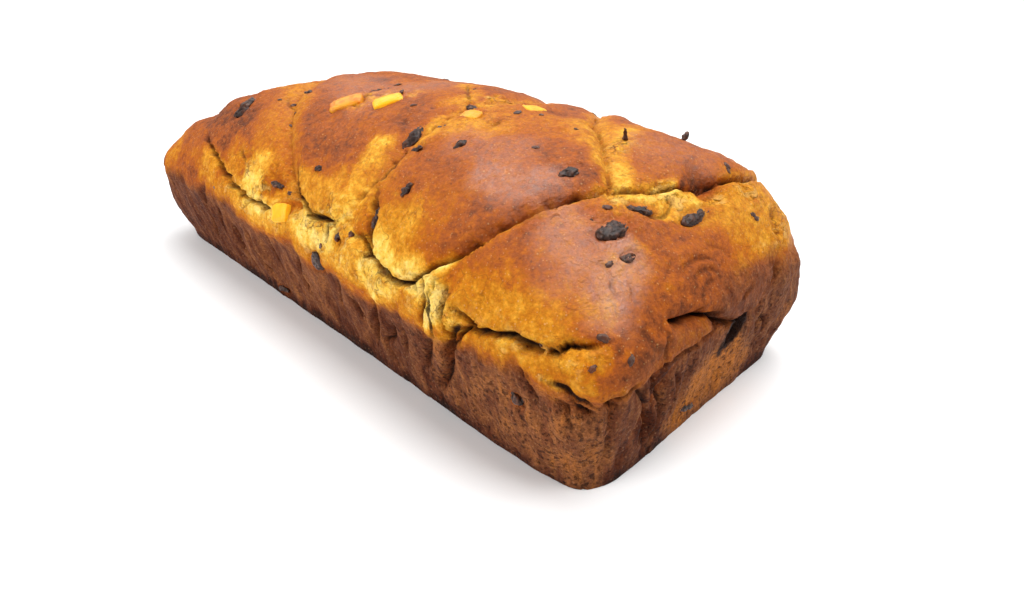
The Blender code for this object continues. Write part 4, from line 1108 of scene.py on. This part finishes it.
def lineGroup():
    # thin wandering lines where noise crosses its middle
    group, given, wanted = newGroup("hairlines", {"Scale": 120.0, "Width": 0.02})
    taken = {key: given[key] for key in ("Vector", "Scale")}
    field = node(group, "ShaderNodeTexNoise", inputs={"Detail": 2.0}, links=taken)
    off = maths(group, "SUBTRACT", field.outputs["Fac"], 0.5)
    far = node(group, "ShaderNodeMath", {"operation": "ABSOLUTE"}, links={0: off})
    line = node(group, "ShaderNodeMapRange", {"interpolation_type": "SMOOTHSTEP"},
                {"To Min": 1.0, "To Max": 0.0},
                {"Value": far.outputs[0], "From Max": given["Width"]})
    breaks = noiseAt(group, given["Vector"], 55.0, 1.0)
    parts = mapRange(group, breaks, {"From Min": 0.5, "From Max": 0.6}, "SMOOTHSTEP")
    group.links.new(maths(group, "MULTIPLY", line.outputs["Result"], parts), wanted["Mask"])
    return group


def useGroup(tree, group, vector, **values):
    made = node(tree, "ShaderNodeGroup", {"node_tree": group}, values, {"Vector": vector})
    return made.outputs["Mask"]


def attribute(tree, name):
    return node(tree, "ShaderNodeAttribute", {"attribute_type": "GEOMETRY",
                                              "attribute_name": name}).outputs["Fac"]


def maths(tree, operation, a, b, clamp=False):
    made = node(tree, "ShaderNodeMath", {"operation": operation, "use_clamp": clamp})
    for k, value in enumerate((a, b)):
        if isinstance(value, (int, float)):
            made.inputs[k].default_value = value
        else:
            tree.links.new(value, made.inputs[k])
    return made.outputs[0]


def times(tree, *values):
    product = values[0]
    for value in values[1:]:
        product = maths(tree, "MULTIPLY", product, value)
    return product


def swing(tree, value, amount):
    # noise taken about its middle and scaled
    return times(tree, maths(tree, "SUBTRACT", value, 0.5), amount)


def noiseAt(tree, vector, scale, detail, roughness=0.5):
    sizes = {"Scale": scale, "Detail": detail, "Roughness": roughness}
    return node(tree, "ShaderNodeTexNoise", inputs=sizes, links={"Vector": vector}).outputs["Fac"]


def mapRange(tree, value, ends, kind="LINEAR"):
    return node(tree, "ShaderNodeMapRange", {"interpolation_type": kind}, ends,
                {"Value": value}).outputs["Result"]


def strandPlace(tree, place, angle, stretch):
    # places drawn out along the strands
    turn = {"Rotation": (0.0, 0.0, angle), "Scale": (1.0, stretch, 1.0)}
    return node(tree, "ShaderNodeMapping", {"vector_type": "TEXTURE"}, turn,
                {"Vector": place}).outputs["Vector"]


def bump(tree, height, strength, distance, under=None, invert=False):
    links = {"Height": height} if under is None else {"Height": height, "Normal": under}
    sizes = {"Strength": strength, "Distance": distance}
    return node(tree, "ShaderNodeBump", {"invert": invert}, sizes, links).outputs["Normal"]


def mixColour(tree, factor, a, b, blend="MIX"):
    made = node(tree, "ShaderNodeMix", {"data_type": "RGBA", "blend_type": blend})
    for socket, value in ((made.inputs[0], factor), (made.inputs[6], a), (made.inputs[7], b)):
        if isinstance(value, (int, float)):
            socket.default_value = value
        elif isinstance(value, tuple):
            socket.default_value = tuple(linear(c) for c in value) + (1.0,)
        else:
            tree.links.new(value, socket)
    return made.outputs[2]


noiseMask = maskGroup()
hairlines = lineGroup()
scatteredPores = poreGroup()

# display colours of the crust from the palest seam to the darkest brown
crustLook = {
    "bakeStops": [(0.0, (255, 220, 124)), (0.15, (243, 192, 76)), (0.30, (220, 152, 40)),
                  (0.45, (198, 123, 18)),
                  (0.60, (182, 99, 12)), (0.75, (166, 84, 26)), (0.88, (138, 70, 30)), (1.0, (90, 45, 22))],
    "wallStops": [(0.0, (46, 18, 7)), (0.25, (84, 38, 18)), (0.45, (114, 64, 38)), (0.65, (142, 86, 48)),
                  (1.0, (184, 109, 43))],
    # noises: scale, detail, roughness
    "broadNoise": (90.0, 5.0, 0.6),
    "fineNoise": (420.0, 4.0, 0.65),
    "pulledNoise": (230.0, 4.0, 0.65),
    "streakNoise": (260.0, 4.0, 0.6),
    "grainNoise": (420.0, 5.0, 0.7),
    "toothNoise": (950.0, 3.0, 0.65),
    "skinNoise": (700.0, 5.0, 0.6),
    # how far each noise moves the tone
    "broadSwing": 0.4,
    "fineSwing": 0.68,
    "pulledSwing": 0.14,
    "streakSwing": 1.15,
    "edgeSwing": 0.3,
    "skinTooth": 0.9,
    "wallTooth": 2.1,
    "strandAngle": -0.47,
    # what lies over the browning: colour and strength
    "shred": ((176, 100, 30), 0.42),
    "flake": ((252, 220, 136), 0.3),
    "gap": ((116, 56, 18), 0.7),
    # stain round each fruit, and painted shade in the fold valleys
    "stainAndFoldShade": ((168, 82, 24), 0.55),
    "line": ((116, 56, 18), 0.45),
    "speck": ((70, 34, 18), 0.6),
    "bubble": ((240, 188, 124), 0.5),
    "grain": ((176, 122, 84), 0.55),
    # pit: near-black painted shade in the pits and pores of the wall
    "pitShade": ((30, 13, 8), 0.65),
    # crack: near-black painted shade inside the cracks and the hole
    "crackShade": ((30, 13, 8), 0.97),
    "roughness": 0.5,
    "mattRoughness": 0.75,
    "roughSwing": 0.25,
    "glazeRoughness": 0.3,
    "glazeIor": 2.3,
    "specular": 0.12,
    # bumps from the lowest to the topmost: strength and distance in metres
    "bubbleBump": (0.6, 0.0005),
    "skinBump": (1.0, 0.0008),
    "wallBump": (1.0, 0.0018),
    "frayedBump": (0.8, 0.0006),
    "poreBump": (0.8, 0.0008),
    "grainBump": (0.9, 0.0012),
}


def crustColour(tree, place, look):
    # browning, wall and what lies over them, with the masks that the surface needs too
    wall, frayed = attribute(tree, "wall"), attribute(tree, "frayed")
    fine = noiseAt(tree, place, *look["fineNoise"])
    pulled = strandPlace(tree, place, look["strandAngle"], 2.2)
    both = maths(tree, "ADD", swing(tree, noiseAt(tree, place, *look["broadNoise"]), look["broadSwing"]),
                 swing(tree, fine, look["fineSwing"]))
    both = maths(tree, "ADD", both, swing(tree, noiseAt(tree, pulled, *look["pulledNoise"]),
                                          look["pulledSwing"]))
    bakeValue = maths(tree, "ADD", attribute(tree, "bake"), both, clamp=True)
    upright = {"Scale": (1.0, 1.0, 0.3), "Rotation": (0.0, 0.2, 0.0)}
    upright = node(tree, "ShaderNodeMapping", inputs=upright, links={"Vector": place}).outputs["Vector"]
    streak = noiseAt(tree, upright, *look["streakNoise"])
    # painted shade: the wall lighter where its streak bump rises and darker between
    wallValue = maths(tree, "ADD", attribute(tree, "wallTone"), swing(tree, streak, look["streakSwing"]),
                      clamp=True)
    wallEdge = maths(tree, "ADD", wall, swing(tree, fine, look["edgeSwing"]), clamp=True)
    onSkin = maths(tree, "SUBTRACT", 1.0, wallEdge, clamp=True)
    crustTone, wallTone = ramp(tree, bakeValue, look["bakeStops"]), ramp(tree, wallValue, look["wallStops"])
    colour = mixColour(tree, wallEdge, crustTone, wallTone)

    def over(under, layer, *masks):
        tone, strength = look[layer]
        return mixColour(tree, times(tree, *masks, strength), under, tone)

    shreds = useGroup(tree, noiseMask, place, Scale=240.0, Detail=3.0, From=0.54, To=0.6)
    flakes = useGroup(tree, noiseMask, pulled, Scale=330.0, Detail=3.0, From=0.54, To=0.6)
    gaps = useGroup(tree, hairlines, place, Scale=170.0, Width=0.03)
    colour = over(colour, "shred", shreds, frayed)
    colour = over(colour, "flake", flakes, frayed)
    colour = over(colour, "gap", gaps, frayed)
    # stain round the fruit and painted shade in the fold valleys
    colour = over(colour, "stainAndFoldShade", attribute(tree, "stainAndFoldShade"))
    tooth = noiseAt(tree, place, *look["toothNoise"])
    toothDepth = times(tree, wallEdge, look["wallTooth"] - look["skinTooth"])
    toothDepth = maths(tree, "ADD", toothDepth, look["skinTooth"])
    toothTone = maths(tree, "ADD", swing(tree, tooth, toothDepth), 1.0)
    colour = mixColour(tree, 1.0, colour, toothTone, "MULTIPLY")
    colour = over(colour, "line", useGroup(tree, hairlines, pulled, Scale=120.0, Width=0.012))
    colour = over(colour, "speck", useGroup(tree, scatteredPores, place, Scale=330.0, Size=0.22, Share=0.2))
    largeBubbles = useGroup(tree, scatteredPores, place, Scale=480.0, Size=0.24, Share=0.26)
    smallBubbles = useGroup(tree, scatteredPores, place, Scale=980.0, Size=0.36, Share=0.24)
    bubbles = maths(tree, "MAXIMUM", largeBubbles, times(tree, smallBubbles, 0.8))
    colour = over(colour, "bubble", bubbles, onSkin)
    colour = over(colour, "grain", useGroup(tree, scatteredPores, place, Scale=760.0, Size=0.42, Share=0.3),
                  wall)
    pores = useGroup(tree, noiseMask, place, Scale=620.0, Detail=2.5, From=0.55, To=0.66)
    pores = times(tree, pores, attribute(tree, "porous"))
    # painted shade in the pits and pores
    colour = over(colour, "pitShade", maths(tree, "MAXIMUM", attribute(tree, "pits"), pores))
    # painted shade: the cracks and the hole darkened nearly to black
    colour = over(colour, "crackShade", attribute(tree, "crackShade"))
    raised = times(tree, maths(tree, "SUBTRACT", flakes, maths(tree, "MAXIMUM", shreds, gaps)), frayed)
    heights = {"bubble": bubbles, "wall": times(tree, streak, wall), "frayed": raised, "pore": pores}
    return colour, fine, bakeValue, onSkin, heights


def crustMaterial():
    made, tree, shader = newMaterial("baked_crust")
    look = crustLook
    place = tree.nodes.new("ShaderNodeTexCoord").outputs["Object"]
    colour, fine, bakeValue, onSkin, heights = crustColour(tree, place, look)
    tree.links.new(colour, shader.inputs["Base Color"])
    dull = maths(tree, "SUBTRACT", 1.0, attribute(tree, "glaze"), clamp=True)
    roughness = mapRange(tree, dull, {"To Min": look["roughness"], "To Max": look["mattRoughness"]})
    roughness = maths(tree, "ADD", roughness, swing(tree, fine, look["roughSwing"]), clamp=True)
    tree.links.new(roughness, shader.inputs["Roughness"])
    shader.inputs["Specular IOR Level"].default_value = look["specular"]
    shader.inputs["Coat Roughness"].default_value = look["glazeRoughness"]
    shader.inputs["Coat IOR"].default_value = look["glazeIor"]
    glazed = mapRange(tree, bakeValue, {"From Min": 0.15, "From Max": 0.5}, "SMOOTHSTEP")
    brushed = mapRange(tree, fine, {"From Min": 0.3, "From Max": 0.7, "To Min": 0.55})
    glaze = times(tree, glazed, times(tree, attribute(tree, "glaze"), onSkin), brushed)
    tree.links.new(glaze, shader.inputs["Coat Weight"])
    heights["skin"] = noiseAt(tree, place, *look["skinNoise"])
    strands = strandPlace(tree, place, look["strandAngle"], 1.5)
    heights["grain"] = noiseAt(tree, strands, *look["grainNoise"])
    normal = None
    for name in ("bubble", "skin", "wall", "frayed", "pore", "grain"):
        normal = bump(tree, heights[name], *look[name + "Bump"], normal, name == "pore")
    tree.links.new(normal, shader.inputs["Normal"])
    tree.links.new(normal, shader.inputs["Coat Normal"])
    return made


def waxySkin(tree, shader, place, colour, look):
    # the sticky surface of dried fruit
    fine = noiseAt(tree, place, *look["noise"])
    smoothest, roughest = look["roughness"]
    tree.links.new(colour, shader.inputs["Base Color"])
    roughness = mapRange(tree, fine, {"To Min": smoothest, "To Max": roughest})
    tree.links.new(roughness, shader.inputs["Roughness"])
    tree.links.new(bump(tree, fine, *look["bump"]), shader.inputs["Normal"])
    shader.inputs["Specular IOR Level"].default_value = look["specular"]


raisinLook = {
    "skin": (74, 43, 30),
    "groove": (24, 11, 7),
    "bloomAndGlint": (134, 104, 84),
    "bloomAndGlintShare": 0.6,
    "brown": (104, 52, 26),
    "noise": (900.0, 4.0),
    "roughness": (0.2, 0.55),
    "bump": (0.6, 0.0004),
    "specular": 0.3,
}


def raisinMaterial():
    made, tree, shader = newMaterial("raisin_skin")
    look = raisinLook
    place = tree.nodes.new("ShaderNodeTexCoord").outputs["Object"]
    # pale spots: the raisins' real bloom, and painted highlights on their skin
    bloomAndGlint = useGroup(tree, noiseMask, place, Scale=520.0, Detail=4.0, From=0.52, To=0.66)
    brown = useGroup(tree, noiseMask, place, Scale=180.0, Detail=3.0, From=0.5, To=0.66)
    colour = mixColour(tree, times(tree, brown, attribute(tree, "tone")), look["skin"], look["brown"])
    colour = mixColour(tree, times(tree, bloomAndGlint, look["bloomAndGlintShare"]), colour, look["bloomAndGlint"])
    colour = mixColour(tree, attribute(tree, "groove"), colour, look["groove"])
    waxySkin(tree, shader, place, colour, look)
    return made


peelLook = {
    "bright": (246, 178, 12),
    "amber": (190, 94, 12),
    "rind": (250, 200, 50),
    "rindShare": 0.35,
    "noise": (600.0, 3.0),
    "roughness": (0.3, 0.55),
    "bump": (0.3, 0.0003),
    "specular": 0.3,
    "subsurface": 0.25,
    "subsurfaceScale": 0.002,
}


def peelMaterial():
    made, tree, shader = newMaterial("candied_peel")
    look = peelLook
    place = tree.nodes.new("ShaderNodeTexCoord").outputs["Object"]
    cloudy = useGroup(tree, noiseMask, place, Scale=240.0, Detail=3.0, From=0.4, To=0.62)
    colour = mixColour(tree, attribute(tree, "tone"), look["bright"], look["amber"])
    colour = mixColour(tree, times(tree, cloudy, look["rindShare"]), colour, look["rind"])
    waxySkin(tree, shader, place, colour, look)
    shader.inputs["Subsurface Weight"].default_value = look["subsurface"]
    shader.inputs["Subsurface Scale"].default_value = look["subsurfaceScale"]
    return made


loaf.data.materials.append(crustMaterial())
raisins.data.materials.append(raisinMaterial())
peel.data.materials.append(peelMaterial())
print("materials made")

for piece, slotName, stoodFor in (
    (loaf, "crust", ["loaf"]),
    (raisins, "raisin", [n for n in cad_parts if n.startswith("raisin")]),
    (peel, "peel", [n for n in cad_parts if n.startswith("peel")]),
):
    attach(piece, "root")
    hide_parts(*stoodFor)

studio = {
    "floorSize": 8.0,
    "floorColour": (0.93, 0.93, 0.93, 1.0),
    "worldStrength": 0.26,
    "lamps": [
        # name, place, size, power, aims at
        ("overhead", (0.0, 0.24, 1.08), 0.75, 8.9, (0.0, 0.0, 0.05)),
        ("front", (-0.22, -1.0, 0.55), 0.7, 9.5, (0.0, 0.0, 0.04)),
        ("nearTop", (0.66, 0.30, 0.84), 0.6, 6.2, (0.13, -0.03, 0.06)),
        ("farLeft", (-1.6, 0.5, 0.9), 1.6, 12.5, (-1.6, 0.5, 0.0)),
        ("farMiddle", (-1.15, 1.15, 1.05), 1.6, 5.0, (-1.15, 1.15, 0.0)),
        ("farRight", (-0.4, 1.7, 0.9), 1.6, 12.5, (-0.4, 1.7, 0.0)),
    ],
}


def addStudio(spec):
    bpy.ops.mesh.primitive_plane_add(size=spec["floorSize"], location=(0, 0, -0.0002))
    floor = bpy.context.object
    floor.name = "floor"
    made, tree, shader = newMaterial("studio_floor")
    shader.inputs["Base Color"].default_value = spec["floorColour"]
    shader.inputs["Roughness"].default_value = 0.9
    floor.data.materials.append(made)
    world = bpy.data.worlds.new("studio")
    world.use_nodes = True
    world.node_tree.nodes["Background"].inputs["Color"].default_value = (1.0, 1.0, 1.0, 1.0)
    world.node_tree.nodes["Background"].inputs["Strength"].default_value = spec["worldStrength"]
    bpy.context.scene.world = world
    for name, place, size, power, aim in spec["lamps"]:
        lamp = bpy.data.lights.new(name, "AREA")
        lamp.size = size
        lamp.energy = power
        made = bpy.data.objects.new(name, lamp)
        made.location = place
        made.rotation_euler = (Vector(aim) - Vector(place)).to_track_quat("-Z", "Y").to_euler()
        bpy.context.scene.collection.objects.link(made)
    bpy.context.scene.view_settings.view_transform = "Standard"


addStudio(studio)
print("studio lit")
